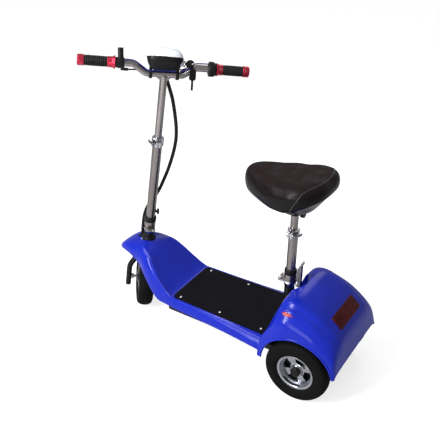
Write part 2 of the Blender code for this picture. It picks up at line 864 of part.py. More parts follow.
def fold_pin(name, parent, location, rotation=(0, 0, 0)):
    """The hinge pin of a folding joint, with two flat heads."""
    head = EAR_OUT + GAP
    piece = rod(name, (-head - 0.002, 0, 0), (head + 0.002, 0, 0), HINGE_PIN_R, 16)
    for sign in (-1, 1):
        pin_head = rod("head", (sign * head, 0, 0), (sign * (head + 0.0025), 0, 0), HINGE_PIN_R + 0.0018, 14)
        join(piece, pin_head)
    return settle(piece, "steel", parent, location, rotation)


def fold_lever(name, parent, rotation=(0, 0, 0)):
    """A folded-steel latch lever about its own pin, standing up at rest."""
    half = LATCH_LEVER_HALF
    top = LATCH_LEVER_LENGTH
    outline = arc((0.0, 0.0), 0.0060, -90, 45, 5)
    outline += [
        (0.0022, 0.014),
        (-0.0015, 0.034),
        (-0.0058, 0.044),
        (-0.0062, top - 0.012),
        (-0.0056, top - 0.006),
        (-0.0075, top),
        (-0.0135, top),
        (-0.0128, top - 0.009),
        (-0.0088, top - 0.014),
        (-0.0085, 0.004),
        (-0.0060, -0.002),
    ]
    piece = side_prism(name, outline, -half, half)
    inner = half - LATCH_WALL
    hollow = [
        (0.02, -0.02),
        (0.02, 0.060),
        (-0.0063, 0.060),
        (-0.0063, 0.0075),
        (-0.012, 0.0045),
        (-0.012, -0.02),
    ]
    cut(piece, side_prism("hollow", hollow, -inner, inner))
    join(piece, rod("pin", (-half + 0.0008, 0, 0), (half - 0.0008, 0, 0), 0.0020, 10))
    return settle(piece, "chrome", parent, (0, 0, 0), rotation)


def lock_knob():
    """The round knob that screws into the side of the stem's lower tube."""
    outline = [
        (0, 0),
        (0.0045, 0),
        (0.0045, 0.0035),
        (KNOB_R - 0.001, 0.0045),
        (KNOB_R, KNOB_T - 0.003),
        (KNOB_R - 0.002, KNOB_T),
        (0, KNOB_T),
    ]
    return turned("stem_knob", outline, 12)


# Telescoping clamps


def clamp_collar(name, parent, location, tube_r, inner_r, side, rotation=(0, 0, 0)):
    """A slotted collar over a tube's end, its bolt at +Y and its nut away from side."""
    outer = tube_r + COLLAR_WALL
    low = -COLLAR_H + COLLAR_LIP
    outline = [
        (tube_r + RUNNING_GAP, low),
        (outer, low),
        (outer, COLLAR_LIP - 0.003),
        (outer - 0.003, COLLAR_LIP),
        (inner_r + RUNNING_GAP, COLLAR_LIP),
        (inner_r + RUNNING_GAP, GAP),
        (tube_r + RUNNING_GAP, GAP),
    ]
    piece = turned(name, outline)
    reach = outer + COLLAR_EAR_LENGTH - COLLAR_WALL
    ears = slab("ears", (-COLLAR_EAR_W, tube_r + 0.002, low + 0.004), (COLLAR_EAR_W, reach, COLLAR_LIP - 0.006))
    join(piece, ears)
    bolt_y = reach - 0.006
    middle = (low + COLLAR_LIP) / 2 - 0.001
    slot_low = low - 0.01
    slot = slab("slot", (-COLLAR_SLOT / 2, inner_r, slot_low), (COLLAR_SLOT / 2, reach + 0.01, COLLAR_LIP + 0.01))
    cut(piece, slot)
    far = -side * (COLLAR_EAR_W + 0.006)
    bolt = rod("bolt", (far, bolt_y, middle), (side * (COLLAR_EAR_W + 0.003), bolt_y, middle), SKEWER_R, 10)
    nut_far = -side * (COLLAR_EAR_W + 0.0052)
    nut = rod("nut", (nut_far, bolt_y, middle), (-side * (COLLAR_EAR_W - 0.0005), bolt_y, middle), 0.0062, 10)
    join(piece, bolt, nut)
    return settle(piece, "chrome", parent, location, rotation)


def clamp_pivot(name, parent, location, tube_r, side, rotation=0.0):
    """The cam lever's pivot beside a clamp collar's ear."""
    outer = tube_r + COLLAR_WALL
    bolt_y = outer + COLLAR_EAR_LENGTH - COLLAR_WALL - 0.006
    middle = -COLLAR_H / 2 + COLLAR_LIP - 0.001
    place = Vector((side * (COLLAR_EAR_W + 0.0094), bolt_y, middle))
    place.rotate(Matrix.Rotation(rotation, 3, "Z"))
    return pivot(name, parent, Vector(location) + place, (0, 0, rotation))


def clamp_lever(name, parent, side, tube_r):
    """A curved cam lever, closed round the collar's side."""
    outer = tube_r + COLLAR_WALL
    bolt_y = outer + COLLAR_EAR_LENGTH - COLLAR_WALL - 0.006
    start_x = COLLAR_EAR_W + 0.0094
    half = CLAMP_LEVER_T / 2
    piece = disc(name, 0.0058, -half, half, 14)
    inner_r = outer + 0.0035
    outline = []
    for step in range(6):
        angle = math.radians(62 - 62 * step / 5)
        reach = inner_r + 0.001 * step
        outline.append((reach * math.cos(angle) - start_x, reach * math.sin(angle) - bolt_y))
    for step in range(6):
        angle = math.radians(62 * step / 5)
        reach = inner_r + 0.0078 - 0.0006 * step
        outline.append((reach * math.cos(angle) - start_x, reach * math.sin(angle) - bolt_y))
    arm = prism("arm", outline, -half + 0.0012, half - 0.0012)
    join(piece, arm)
    if side < 0:
        moved(piece, Matrix.Scale(-1, 4, (1, 0, 0)))
        piece.data.flip_normals()
    return settle(piece, "chrome", parent)


# Handlebar group


def bar_route():
    """The handlebar's centre line from its right end to its left end."""
    rise = [
        (BAR_MID_HALF, 0.0),
        (BAR_MID_HALF + 0.010, 0.002),
        ((BAR_MID_HALF + BAR_RISE_END) / 2, BAR_RISE / 2),
        (BAR_RISE_END - 0.010, BAR_RISE - 0.002),
        (BAR_RISE_END, BAR_RISE),
    ]
    bends = [tuple(point) for point in smooth([(x, 0, z) for x, z in rise], 9)]
    right = [(-BAR_HALF, 0, BAR_RISE)] + [(-x, y, z) for x, y, z in reversed(bends)]
    left = bends + [(BAR_HALF, 0, BAR_RISE)]
    return right + left


def handlebar(parent):
    """The bent bar welded on the upper steering tube with a gusset."""
    piece = piped("handlebar", bar_route(), BAR_R)
    low = STEM_INNER_START - BAR_MID
    tube = disc("tube", STEM_INNER_R, low, -BAR_R * 0.4)
    gusset_outline = [(0.0, -0.030), (0.030, -0.0060), (-0.030, -0.0060)]
    gusset = moved(prism("gusset", gusset_outline, -0.0035, 0.0035), turn(90, "X"))
    join(piece, tube, gusset)
    bore = disc("bore", STEM_INNER_R - 0.0020, low - 0.01, -0.045)
    cut(piece, bore)
    return settle(piece, "satin_tube", parent)


def along_bar(piece, start, sign):
    """Turn a piece made along Z to lie along the handlebar's straight end."""
    return moved(piece, shift(x=sign * start, z=BAR_RISE) @ turn(90 * sign, "Y"))


def grip(name, parent, sign, start, ring_end, lift=0.0):
    """A grip with a flared lock ring, finger waves and a cap at the bar's end."""
    ring_length = ring_end - start
    cap_start = END_RING_IN - start
    cap_end = END_RING_OUT - start
    outline = [
        (TURNING_BORE_R, GAP),
        (RING_R + 0.0030, GAP),
        (RING_R + 0.0030, 0.0040),
        (RING_R - 0.0010, 0.0085),
        (RING_R - 0.0010, ring_length),
    ]
    for step in range(1, 6):
        wave = 0.0008 * math.cos(step * math.pi)
        outline.append((GRIP_R + wave, ring_length + (cap_start - ring_length) * step / 6))
    outline += [
        (GRIP_END_R, cap_start),
        (GRIP_END_R, cap_end - 0.003),
        (GRIP_END_R - 0.003, cap_end),
        (0, cap_end),
        (0, BAR_HALF + GAP - start),
        (TURNING_BORE_R, BAR_HALF + GAP - start),
    ]
    piece = along_bar(turned(name, outline), start, sign)
    return settle(piece, "grip_rubber", parent, (0, 0, lift))


def throttle_housing(parent):
    """The black housing of the twist throttle, stepped towards the grip."""
    length = RIGHT_HOUSING_OUT - RIGHT_HOUSING_IN
    outline = [
        (GRIP_BORE_R, 0.0),
        (HOUSING_R - 0.003, 0.0),
        (HOUSING_R, 0.003),
        (HOUSING_R, length * 0.62),
        (HOUSING_R - 0.0045, length - 0.002),
        (HOUSING_R - 0.0055, length - GAP),
        (GRIP_BORE_R, length - GAP),
    ]
    piece = along_bar(turned("throttle_housing", outline), RIGHT_HOUSING_IN, -1)
    return settle(piece, "black_plastic", parent)


def brake_plane(distance):
    """A point that far from the bar, in front of it and below it."""
    y = -distance * math.cos(BRAKE_TILT)
    z = BAR_RISE - distance * math.sin(BRAKE_TILT)
    return Vector((0, y, z))


def brake_perch(parent):
    """The brake lever's clamp, with a boss, a lever fork and a cable barrel."""
    clamp = [
        (GRIP_BORE_R, 0.0),
        (BAR_R + 0.0060, 0.0),
        (BAR_R + 0.0072, 0.004),
        (BAR_R + 0.0072, 0.018),
        (BAR_R + 0.0060, 0.022),
        (GRIP_BORE_R, 0.022),
    ]
    piece = along_bar(turned("brake_perch", clamp), BRAKE_X - 0.004, 1)
    boss_foot = (BRAKE_X + 0.008, 0.0, BAR_RISE + BAR_R + 0.002)
    boss = rod("boss", boss_foot, (BRAKE_X + 0.010, -0.010, BAR_RISE + 0.046), 0.0092, 12)
    near = brake_plane(BAR_R + 0.002)
    far = brake_plane(BRAKE_REACH - 0.001)
    stub = rod("stub", near + Vector((BRAKE_X + 0.006, 0, 0)), far + Vector((BRAKE_X, 0, 0)), 0.0062, 12)
    axis = Vector((0, -math.sin(BRAKE_TILT), math.cos(BRAKE_TILT)))
    centre = brake_plane(BRAKE_REACH) + Vector((BRAKE_X, 0, 0))
    fork_in = BRAKE_BLADE_HALF + GAP
    eye = rod("eye", centre - axis * BRAKE_FORK_HALF, centre + axis * BRAKE_FORK_HALF, 0.0068, 14)
    barrel_at = Vector((BRAKE_X - 0.004, -0.013, BAR_RISE - 0.0265))
    barrel = rod("barrel", barrel_at + Vector((0.010, 0, 0)), barrel_at - Vector((0.014, 0, 0)), 0.0048, 12)
    neck = rod("neck", (BRAKE_X + 0.004, -0.008, BAR_RISE - 0.012), barrel_at + Vector((0.005, 0, 0)), 0.0056, 12)
    join(piece, boss, stub, eye, neck, barrel)
    bar_hole = rod("hole", (BRAKE_X - 0.05, 0, BAR_RISE), (BRAKE_X + 0.05, 0, BAR_RISE), GRIP_BORE_R, ROUND)
    hub_room = rod("hole", centre - axis * fork_in, centre + axis * fork_in, 0.0102, 14)
    pin_hole = rod("hole", centre - axis * 0.012, centre + axis * 0.012, 0.0022 + GAP, 12)
    cut(piece, bar_hole, hub_room, pin_hole)
    return settle(piece, "black_plastic", parent)


def brake_lever(parent):
    """The lever blade about its pin, bent to follow the grip, round at its end."""
    half = BRAKE_BLADE_HALF
    piece = disc("brake_lever", 0.0065, -half, half, 14)
    pin = disc("pin", 0.0022, -0.0058, 0.0058, 12)
    bends = [(0.002, 0.0, 0), (0.020, -0.0035, 0), (0.048, -0.0060, 0), (0.080, -0.0045, 0), (0.108, -0.0070, 0)]
    route = smooth(bends, 8)
    widths = [0.0050, 0.0050, 0.0047, 0.0044, 0.0041, 0.0038, 0.0037, 0.0042]
    left = [(point.x, point.y + width) for point, width in zip(route, widths)]
    right = [(point.x, point.y - width) for point, width in zip(route, widths)]
    blade = soften(prism("blade", right + left[::-1], -half + 0.0002, half - 0.0002), 0.0010, 50)
    end_ball = disc("end", 0.0052, -half - 0.0008, half + 0.0008, 12)
    moved(end_ball, shift(x=0.109, y=-0.007))
    join(piece, pin, blade, end_ball)
    return settle(piece, "black_paint", parent)


def unit_section(scale_x, scale_y, height):
    """One level of the display unit's rounded outline."""
    half_x = UNIT_HALF_W * scale_x
    half_y = UNIT_HALF_D * scale_y
    return rounded_box(half_x, half_y, half_y * 0.72, height, UNIT_FRONT_OFFSET, 3)


def unit_bracket(sign):
    """A clamp on the bar under the display unit."""
    half = BRACKET_HALF_W
    start = sign * BRACKET_X - half
    end = sign * BRACKET_X + half
    piece = rod("bracket", (start, 0, 0), (end, 0, 0), BRACKET_R, 16)
    post_top = BAR_R + UNIT_CLEAR + 0.0015
    join(piece, slab("post", (start + 0.0002, -0.0095, 0.004), (end - 0.0002, 0.0065, post_top)))
    bore = rod("bore", (start - 0.02, 0, 0), (end + 0.02, 0, 0), GRIP_BORE_R, ROUND)
    return cut(piece, bore)


def display_base(parent):
    """The black lower half of the display unit, tapered towards the bar."""
    low = BAR_R + UNIT_CLEAR
    high = low + UNIT_BASE_H
    piece = lofted(
        "display_base",
        [
            unit_section(0.80, 0.62, low),
            unit_section(0.90, 0.84, low + UNIT_BASE_H * 0.35),
            unit_section(0.985, 0.97, low + UNIT_BASE_H * 0.75),
            unit_section(1.0, 1.0, high),
        ],
    )
    lamp_z = (low + high) / 2
    front = UNIT_FRONT_OFFSET - UNIT_HALF_D
    pocket = rod("pocket", (0, front - 0.02, lamp_z), (0, front + 0.014, lamp_z), LAMP_R + GAP, ROUND)
    barrel_in = (-UNIT_HALF_W + 0.0160, KEY_Y, KEY_UP)
    barrel = rod("barrel", (-UNIT_HALF_W - 0.02, KEY_Y, KEY_UP), barrel_in, KEY_BARREL_R + GAP, 16)
    cut(piece, pocket, barrel)
    join(piece, unit_bracket(1), unit_bracket(-1))
    return settle(piece, "black_plastic", parent)


def display_cover(parent):
    """The white domed top of the display unit."""
    low = BAR_R + UNIT_CLEAR + UNIT_BASE_H + GAP
    piece = lofted(
        "display_cover",
        [
            unit_section(1.0, 1.0, low),
            unit_section(0.985, 0.985, low + UNIT_COVER_H * 0.28),
            unit_section(0.93, 0.92, low + UNIT_COVER_H * 0.58),
            unit_section(0.80, 0.76, low + UNIT_COVER_H * 0.84),
            unit_section(0.52, 0.46, low + UNIT_COVER_H),
        ],
    )
    return settle(piece, "white_plastic", parent, sharp=50)


def headlight_lens(parent):
    """The round lamp in the front of the display unit."""
    lamp_z = BAR_R + UNIT_CLEAR + UNIT_BASE_H / 2
    front = UNIT_FRONT_OFFSET - UNIT_HALF_D
    outline = [(0, 0.0), (LAMP_R, 0.0), (LAMP_R, 0.0115), (LAMP_R * 0.7, 0.0145), (0, 0.0160)]
    piece = moved(turned("headlight_lens", outline), shift(y=front + 0.0137, z=lamp_z) @ turn(90, "X"))
    return settle(piece, "clear_lens", parent)


def key_switch(parent):
    """The lock barrel on the unit's right side, with the bore for its plug."""
    outline = [
        (0, 0.0),
        (KEY_BARREL_R, 0.0),
        (KEY_BARREL_R, 0.0165),
        (KEY_BARREL_R + 0.0015, 0.0168),
        (KEY_BARREL_R + 0.0015, 0.0195),
        (KEY_BARREL_R - 0.0015, 0.0210),
        (0, 0.0210),
    ]
    piece = turned("key_switch", outline, 16)
    cut(piece, disc("bore", KEY_PLUG_R + GAP, 0.0210 - KEY_PLUG_LENGTH - GAP, 0.03))
    moved(piece, shift(x=-UNIT_HALF_W + 0.0155, y=KEY_Y, z=KEY_UP) @ turn(-90, "Y"))
    return settle(piece, "steel", parent)


def ignition_key(parent):
    """The key and the lock plug that turns with it: a round head on a flat blade, along Z."""
    piece = disc("ignition_key", KEY_HEAD_R, -KEY_T, KEY_T, 16)
    moved(piece, turn(90, "Z") @ shift(z=KEY_HEAD_UP) @ turn(90, "Y"))
    blade = slab("blade", (-0.0036, -0.0011, -0.0110), (0.0036, 0.0011, 0.004))
    join(piece, disc("plug", KEY_PLUG_R, -KEY_PLUG_LENGTH, -GAP, 16), blade)
    hole = rod("hole", (0, -0.02, KEY_RING_UP), (0, 0.02, KEY_RING_UP), KEY_HOLE_R, 12)
    cut(piece, hole)
    return settle(piece, "black_plastic", parent)


def spare_key(parent):
    """The second key, hung on a wire ring through the first one's head."""
    ring_r, wire = 0.0090, 0.0008
    bm = bmesh.new()
    loops = []
    for step in range(12):
        angle = math.tau * step / 12
        centre = Vector((0, ring_r * math.cos(angle), ring_r * math.sin(angle)))
        out = centre.normalized()
        loop = []
        for corner in range(4):
            spin = math.tau * corner / 4
            offset = out * math.cos(spin) * wire + Vector((1, 0, 0)) * math.sin(spin) * wire
            loop.append(bm.verts.new(centre + offset))
        loops.append(loop)
    for first, second in zip(loops, loops[1:] + loops[:1]):
        for corner in range(4):
            following = (corner + 1) % 4
            bm.faces.new((first[corner], first[following], second[following], second[corner]))
    piece = from_bmesh("spare_key", bm)
    fob_outline = plan(rounded_box(0.0108, 0.0185, 0.0085, 0.0))
    fob = moved(prism("fob", fob_outline, -0.0038, 0.0038), turn(90, "X"))
    moved(fob, turn(12, "Z") @ shift(z=-0.0242))
    blade = moved(slab("blade", (-0.0034, -0.0010, -0.0735), (0.0034, 0.0010, -0.0395)), turn(12, "Z"))
    join(piece, fob, blade)
    moved(piece, shift(z=-ring_r))
    return settle(piece, "black_plastic", parent)


# Cables


def cable(name, parent, points, radius, finish, count, sides=8):
    """A cable along a smooth route."""
    return settle(piped(name, smooth(points, count), radius, sides), finish, parent, sharp=60)


# Frame


def column_point(height, back=0.0, across=0.0):
    """A chassis point on the steering column's axis or beside it, unturned."""
    lean = Matrix.Rotation(-RAKE, 3, "X")
    return Vector((0, FRONT_AXLE_Y, AXLE_Z)) + lean @ Vector((across, back, height))


def frame(parent):
    """Rails, cross members, gooseneck, head tube, axle lugs and seat socket."""
    rail_low = RAIL_TOP_Z - RAIL_H
    front = RAMP_FOOT_Y + 0.018
    rear = REAR_AXLE_Y + 0.090
    piece = slab("frame", (RAIL_X - RAIL_W / 2, front, rail_low), (RAIL_X + RAIL_W / 2, rear, RAIL_TOP_Z))
    other = slab("rail", (-RAIL_X - RAIL_W / 2, front, rail_low), (-RAIL_X + RAIL_W / 2, rear, RAIL_TOP_Z))
    members = [front, (front + SEAT_POST_Y) / 2, rear - 0.026]
    joined = [other]
    for place in members:
        low = (-RAIL_X, place + 0.0005, rail_low + 0.006)
        high = (RAIL_X, place + 0.0255, RAIL_TOP_Z - 0.004)
        joined.append(slab("member", low, high))
    socket_low = rail_low + 0.004
    joined.append(disc("post", SEAT_BASE_R, socket_low, SEAT_JOINT_Z - JOINT_BLOCK_H - GAP))
    moved(joined[-1], shift(y=SEAT_POST_Y))
    foot_low = (-RAIL_X, SEAT_POST_Y - 0.021, rail_low + 0.0065)
    joined.append(slab("foot", foot_low, (RAIL_X, SEAT_POST_Y + 0.021, RAIL_TOP_Z - 0.0045)))
    for sign in (-1, 1):
        low = (sign * RAIL_X - RAIL_W / 2 + 0.002, REAR_AXLE_Y - 0.017, AXLE_Z - 0.013)
        high = (sign * RAIL_X + RAIL_W / 2 - 0.002, REAR_AXLE_Y + 0.017, rail_low + 0.006)
        joined.append(slab("lug", low, high))
    join(piece, *joined)
    neck_start = Vector((0, front + 0.007, rail_low + 0.0175))
    run = column_point(HEAD_TOP - 0.0200, 0.004) - neck_start
    shares = [(0.0, 0.0), (0.19, 0.01), (0.40, 0.24), (0.60, 0.575), (0.785, 0.84), (1.0, 1.0)]
    neck = [neck_start + Vector((0, run.y * along, run.z * up)) for along, up in shares]
    join(piece, piped("gooseneck", smooth(neck, 9), GOOSENECK_R, 10))
    tongue_low = (-0.015, rear - 0.010, rail_low + 0.0220)
    tongue_high = (0.015, REAR_AXLE_Y + 0.1300, rail_low + 0.0285)
    join(piece, slab("tongue", tongue_low, tongue_high))
    lean = shift(y=FRONT_AXLE_Y, z=AXLE_Z) @ Matrix.Rotation(-RAKE, 4, "X")
    join(piece, moved(disc("head", HEAD_R, HEAD_BOTTOM, HEAD_TOP), lean))
    cut(piece, moved(disc("bore", HEAD_BORE_R, HEAD_BOTTOM - 0.02, HEAD_TOP + 0.02), lean))
    cut(piece, rod("bore", (-0.2, REAR_AXLE_Y, AXLE_Z), (0.2, REAR_AXLE_Y, AXLE_Z), AXLE_R + GAP, 16))
    spigot = disc("spigot", STEERER_R, 0.0, 0.018)
    moved(spigot, shift(y=SEAT_POST_Y, z=SEAT_JOINT_Z - JOINT_BLOCK_H - 0.008))
    join(piece, spigot)
    return settle(piece, "black_paint", parent)


# Body panels


def cowl_section(y, top_z, ridge_half, edge_half, edge_z, lift):
    """One cross section of the front body, from its left edge to its right."""
    ridge_z = top_z + lift
    drop = ridge_z - edge_z
    spread = edge_half - ridge_half
    crown = min(lift, 0.0)
    foot = lift * 0.15 if lift > 0 else lift * 0.72
    half = [
        (0.0, top_z),
        (ridge_half * 0.62, top_z + crown * 0.28),
        (max(ridge_half * 0.88, ridge_half - 0.006), top_z + foot),
        (max(ridge_half * 0.975, ridge_half - 0.002), ridge_z),
        (ridge_half + spread * 0.50, ridge_z - drop * 0.17),
        (ridge_half + spread * 0.86 + 0.002, edge_z + drop * 0.45),
        (edge_half, edge_z),
    ]
    left = [(x, y, z) for x, z in reversed(half)]
    right = [(-x, y, z) for x, z in half[1:]]
    return left + right


def front_body(parent):
    """Nose, ramp, deck and side skirts as one blue moulding, open below."""
    top = column_point(HEAD_TOP + 0.0095).z
    tyre_top = AXLE_Z + TYRE_R
    rise = top - DECK_Z
    nose = FRONT_AXLE_Y - NOSE_REACH
    rows = [
        (nose, tyre_top + 0.0195, 0.012, 0.018, tyre_top + 0.0155, -0.0005),
        (nose + 0.006, tyre_top + 0.0270, 0.024, 0.030, tyre_top + 0.0165, -0.002),
        (nose + 0.020, top - 0.0355, 0.036, 0.043, tyre_top + 0.0190, -0.004),
        (nose + 0.042, top - 0.0185, 0.047, 0.054, tyre_top + 0.0225, -0.006),
        (nose + 0.073, top - 0.0060, 0.055, 0.063, tyre_top + 0.0205, -0.008),
        (nose + 0.108, top - 0.0005, 0.058, 0.070, tyre_top + 0.0070, -0.0095),
        (nose + 0.133, top, 0.060, 0.081, tyre_top - 0.0020, -0.008),
        (nose + 0.158, top - rise * 0.095, 0.069, 0.095, tyre_top - 0.0150, -0.003),
        (nose + 0.1814, top - rise * 0.224, 0.079, 0.105, tyre_top - 0.0380, COWL_LIFT),
        (nose + 0.2114, top - rise * 0.440, 0.0955, 0.1145, tyre_top - 0.0665, COWL_LIFT),
        (nose + 0.2414, top - rise * 0.664, 0.1075, 0.1200, SKIRT_Z + 0.0050, COWL_LIFT),
        (nose + 0.2774, top - rise * 0.888, 0.1175, 0.1225, SKIRT_Z + 0.0010, COWL_LIFT),
        (RAMP_FOOT_Y, DECK_Z, 0.1220, 0.1245, SKIRT_Z, COWL_LIFT),
        (RAMP_FOOT_Y + 0.040, DECK_Z, 0.1235, 0.1290, SKIRT_Z, COWL_LIFT),
        (DECK_END_Y - 0.150, DECK_Z, 0.1265, 0.1430, SKIRT_Z, COWL_LIFT),
        (DECK_END_Y, DECK_Z, 0.1300, 0.1600, SKIRT_Z, COWL_LIFT),
    ]
    piece = lofted("front_body", [cowl_section(*row) for row in rows], closed=False, lid=True)
    shell = piece.modifiers.new("wall", "SOLIDIFY")
    shell.thickness = SHELL_T
    shell.offset = -1.0
    shell.use_even_offset = True
    baked(piece)
    lean = shift(y=FRONT_AXLE_Y, z=AXLE_Z) @ Matrix.Rotation(-RAKE, 4, "X")
    column_hole = moved(disc("hole", BOOT_R + 0.0030, HEAD_TOP - 0.06, HEAD_TOP + 0.08), lean)
    post_hole = moved(disc("hole", SEAT_BASE_R + RUNNING_GAP, DECK_Z - 0.05, DECK_Z + 0.05), shift(y=SEAT_POST_Y))
    entry = loom_entry()
    way_in = [entry + Vector((-0.002, 0, 0.018)), entry, entry + Vector((0.013, -0.005, -0.014))]
    loom_hole = piped("hole", way_in, LOOM_R + 0.0050, 10)
    cut(piece, column_hole, post_hole, loom_hole)
    return settle(piece, "blue_plastic", parent, sharp=28)


def deck_mat(parent):
    """The black rubber mat on the deck, widening towards the seat."""
    front = RAMP_FOOT_Y + 0.003
    rear = DECK_END_Y - 0.001
    corner = 0.012
    outline = [
        (MAT_FRONT_HALF - corner, front),
        (MAT_FRONT_HALF, front + corner),
        (MAT_REAR_HALF, rear),
    ]
    outline = outline + [(-x, y) for x, y in reversed(outline)]
    low = DECK_Z + MAT_REST
    piece = prism("deck_mat", outline, low + GAP, low + MAT_T)
    notch = moved(disc("notch", SEAT_BASE_R + RUNNING_GAP, DECK_Z - 0.02, DECK_Z + 0.02), shift(y=SEAT_POST_Y))
    cut(piece, notch)
    return settle(piece, "mat_rubber", parent)


def belly_pan(parent):
    """The black tray under the deck, open above."""
    front = RAMP_FOOT_Y - 0.020
    top = RAIL_TOP_Z - RAIL_H - GAP
    foot_half = PAN_HALF - PAN_DRAFT
    wall = 0.0025
    outer = []
    for y in (front, PAN_END_Y):
        half = [(foot_half, y, PAN_BOTTOM_Z), (PAN_HALF, y, top)]
        outer.append(half + [(-x, y, z) for x, y, z in reversed(half)])
    hollow = []
    for y in (front + wall, PAN_END_Y - wall):
        half = [(foot_half - wall, y, PAN_BOTTOM_Z + wall), (PAN_HALF - wall + 0.0015, y, top + 0.008)]
        hollow.append(half + [(-x, y, z) for x, y, z in reversed(half)])
    piece = lofted("belly_pan", outer)
    gap_low = (LOOM_PAN_X - LOOM_R - 0.003, front - 0.01, AXLE_Z - 0.002)
    gap_high = (LOOM_PAN_X + LOOM_R + 0.003, front + 0.02, top + 0.01)
    cut(piece, lofted("hollow", hollow), slab("gap", gap_low, gap_high))
    return settle(piece, "black_plastic", parent)


def hood_section(along, height):
    """One cross section of the rear hood with its flared wheel covers."""
    reach = (along + HOOD_FRONT) / (HOOD_FRONT + HOOD_TAIL)
    width = 0.930 + 0.070 * min(1.0, reach * 3.4) - 0.075 * (max(0.0, reach - 0.66) / 0.34) ** 1.5
    box = max(0.0, 1.0 - reach / 0.14)
    edge = 0.0060 + 0.0240 * max(0.0, reach - 0.55) / 0.45
    half = []
    for across, down in zip(HOOD_ACROSS, HOOD_DOWN):
        if down > 0.5:
            down += (1.0 - down) * box
        half.append((across * width, edge + (height - edge) * down))
    y = REAR_AXLE_Y + along
    left = [(x, y, AXLE_Z + z) for x, z in reversed(half)]
    right = [(-x, y, AXLE_Z + z) for x, z in half[1:]]
    return left + right


def lamp_frame():
    """The tail lamp's place on the hood's rear slope."""
    spans = zip(HOOD_PROFILE, HOOD_PROFILE[1:])
    near, far = next(span for span in spans if span[1][0] > LAMP_ALONG)
    share = (LAMP_ALONG - near[0]) / (far[0] - near[0])
    height = near[1] + (far[1] - near[1]) * share
    return shift(y=REAR_AXLE_Y + LAMP_ALONG, z=AXLE_Z + height) @ Matrix.Rotation(-LAMP_SLOPE, 4, "X")


def lamp_body(name, spare):
    """The tail lamp's block, grown by a clearance."""
    outline = plan(rounded_box(TAIL_LAMP_HALF_W + spare, TAIL_LAMP_HALF_H + spare, 0.006, 0.0))
    return moved(prism(name, outline, -TAIL_LAMP_T - spare, 0.0035 + spare), lamp_frame())


def marker_body(name, sign, spare):
    """A side marker's teardrop block, grown by a clearance."""
    length = MARKER_LENGTH / 2 + spare
    height = MARKER_HEIGHT / 2 + spare
    outline = [
        (-length, 0.0),
        (-length * 0.80, height * 0.62),
        (-length * 0.35, height),
        (length * 0.15, height * 0.80),
        (length * 0.65, height * 0.35),
        (length, 0.0),
        (length * 0.65, -height * 0.35),
        (length * 0.15, -height * 0.80),
        (-length * 0.35, -height),
        (-length * 0.80, -height * 0.62),
    ]
    piece = prism(name, outline, -0.006 - spare, 0.003)
    stand = Matrix.Rotation(math.radians(90), 4, "Z")
    tilt = Matrix.Rotation(sign * math.radians(48), 4, "Y")
    place = shift(x=sign * MARKER_X, y=REAR_AXLE_Y + MARKER_ALONG, z=AXLE_Z + HOOD_HEIGHT - MARKER_DROP)
    return moved(piece, place @ tilt @ stand)


def rear_hood(parent):
    """The blue rear body over the battery and both wheels, open below."""
    piece = lofted("rear_hood", [hood_section(*row) for row in HOOD_PROFILE], closed=False)
    shell = piece.modifiers.new("wall", "SOLIDIFY")
    shell.thickness = SHELL_T
    shell.offset = -1.0
    shell.use_even_offset = True
    baked(piece)
    for sign in (-1, 1):
        inner = REAR_TRACK / 2 - TYRE_HALF_W - 0.006
        start = (sign * inner, REAR_AXLE_Y, AXLE_Z)
        cut(piece, rod("arch", start, (sign * 0.25, REAR_AXLE_Y, AXLE_Z), TYRE_R + ARCH_GAP, 32))
    low = DECK_Z - 0.03
    high = DECK_Z + 0.2
    recess = turned("recess", [(0, low), (POST_RECESS_R, low), (POST_RECESS_R + 0.014, high), (0, high)], 24)
    cut(piece, moved(recess, shift(y=SEAT_POST_Y)))
    cut(piece, lamp_body("pocket", GAP), marker_body("pocket", 1, GAP), marker_body("pocket", -1, GAP))
    return settle(piece, "blue_plastic", parent, sharp=28)


# Battery, controller and charging


def battery_pack(parent):
    """The battery case on the rails under the hood."""
    low = RAIL_TOP_Z + GAP
    corner = rounded_box(0.098, 0.066, 0.010, 0.0, REAR_AXLE_Y - 0.002, 2)
    piece = soften(prism("battery_pack", plan(corner), low, low + 0.096), 0.003)
    return settle(piece, "battery_case", parent)


def controller(parent):
    """The finned motor controller between the rails, over the belly pan."""
    half = RAIL_X - RAIL_W / 2 - 0.004
    low = PAN_BOTTOM_Z + 0.0025 + GAP
    y = RAMP_FOOT_Y + 0.105
    piece = slab("controller", (-half, y - 0.045, low), (half, y + 0.045, low + 0.024))
    for number in range(7):
        x = -half + 0.002 + 0.0115 * number
        join(piece, slab("fin", (x, y - 0.044, low + 0.020), (x + 0.004, y + 0.044, low + 0.031)))
    return settle(piece, "steel", parent)


# Seat


def saddle_outline(grow):
    """The saddle's plan at one level: a broad tail and a narrower nose."""
    steps = 24
    length = SADDLE_NOSE + SADDLE_TAIL
    middle = (SADDLE_TAIL - SADDLE_NOSE) / 2
    points = []
    for step in range(steps):
        angle = math.tau * step / steps
        along = math.sin(angle)
        across = math.cos(angle)
        corner = 0.66 if along > 0 else 0.88
        square = math.copysign(abs(across) ** corner, across)
        narrow = 0.80 + 0.20 * math.sin(math.pi / 2 * max(-1.0, min(1.0, along * 1.35 + 0.28)))
        x = (SADDLE_HALF_W - (1 - grow) * 0.075) * square * narrow
        y = middle + (length / 2 - (1 - grow) * 0.075) * math.copysign(abs(along) ** (corner + 0.06), along)
        points.append((x, y))
    return points


def saddle_height(y):
    """How far the saddle's top dips behind its nose and climbs to its tail."""
    share = (y + SADDLE_NOSE) / (SADDLE_NOSE + SADDLE_TAIL)
    return SADDLE_NOSE_UP + SADDLE_DIP * share + SADDLE_CLIMB * share**2


def saddle_tuck(y):
    """How far the underside is cut up towards the tail."""
    return SADDLE_TUCK * max(0.0, y / SADDLE_TAIL) ** 1.15


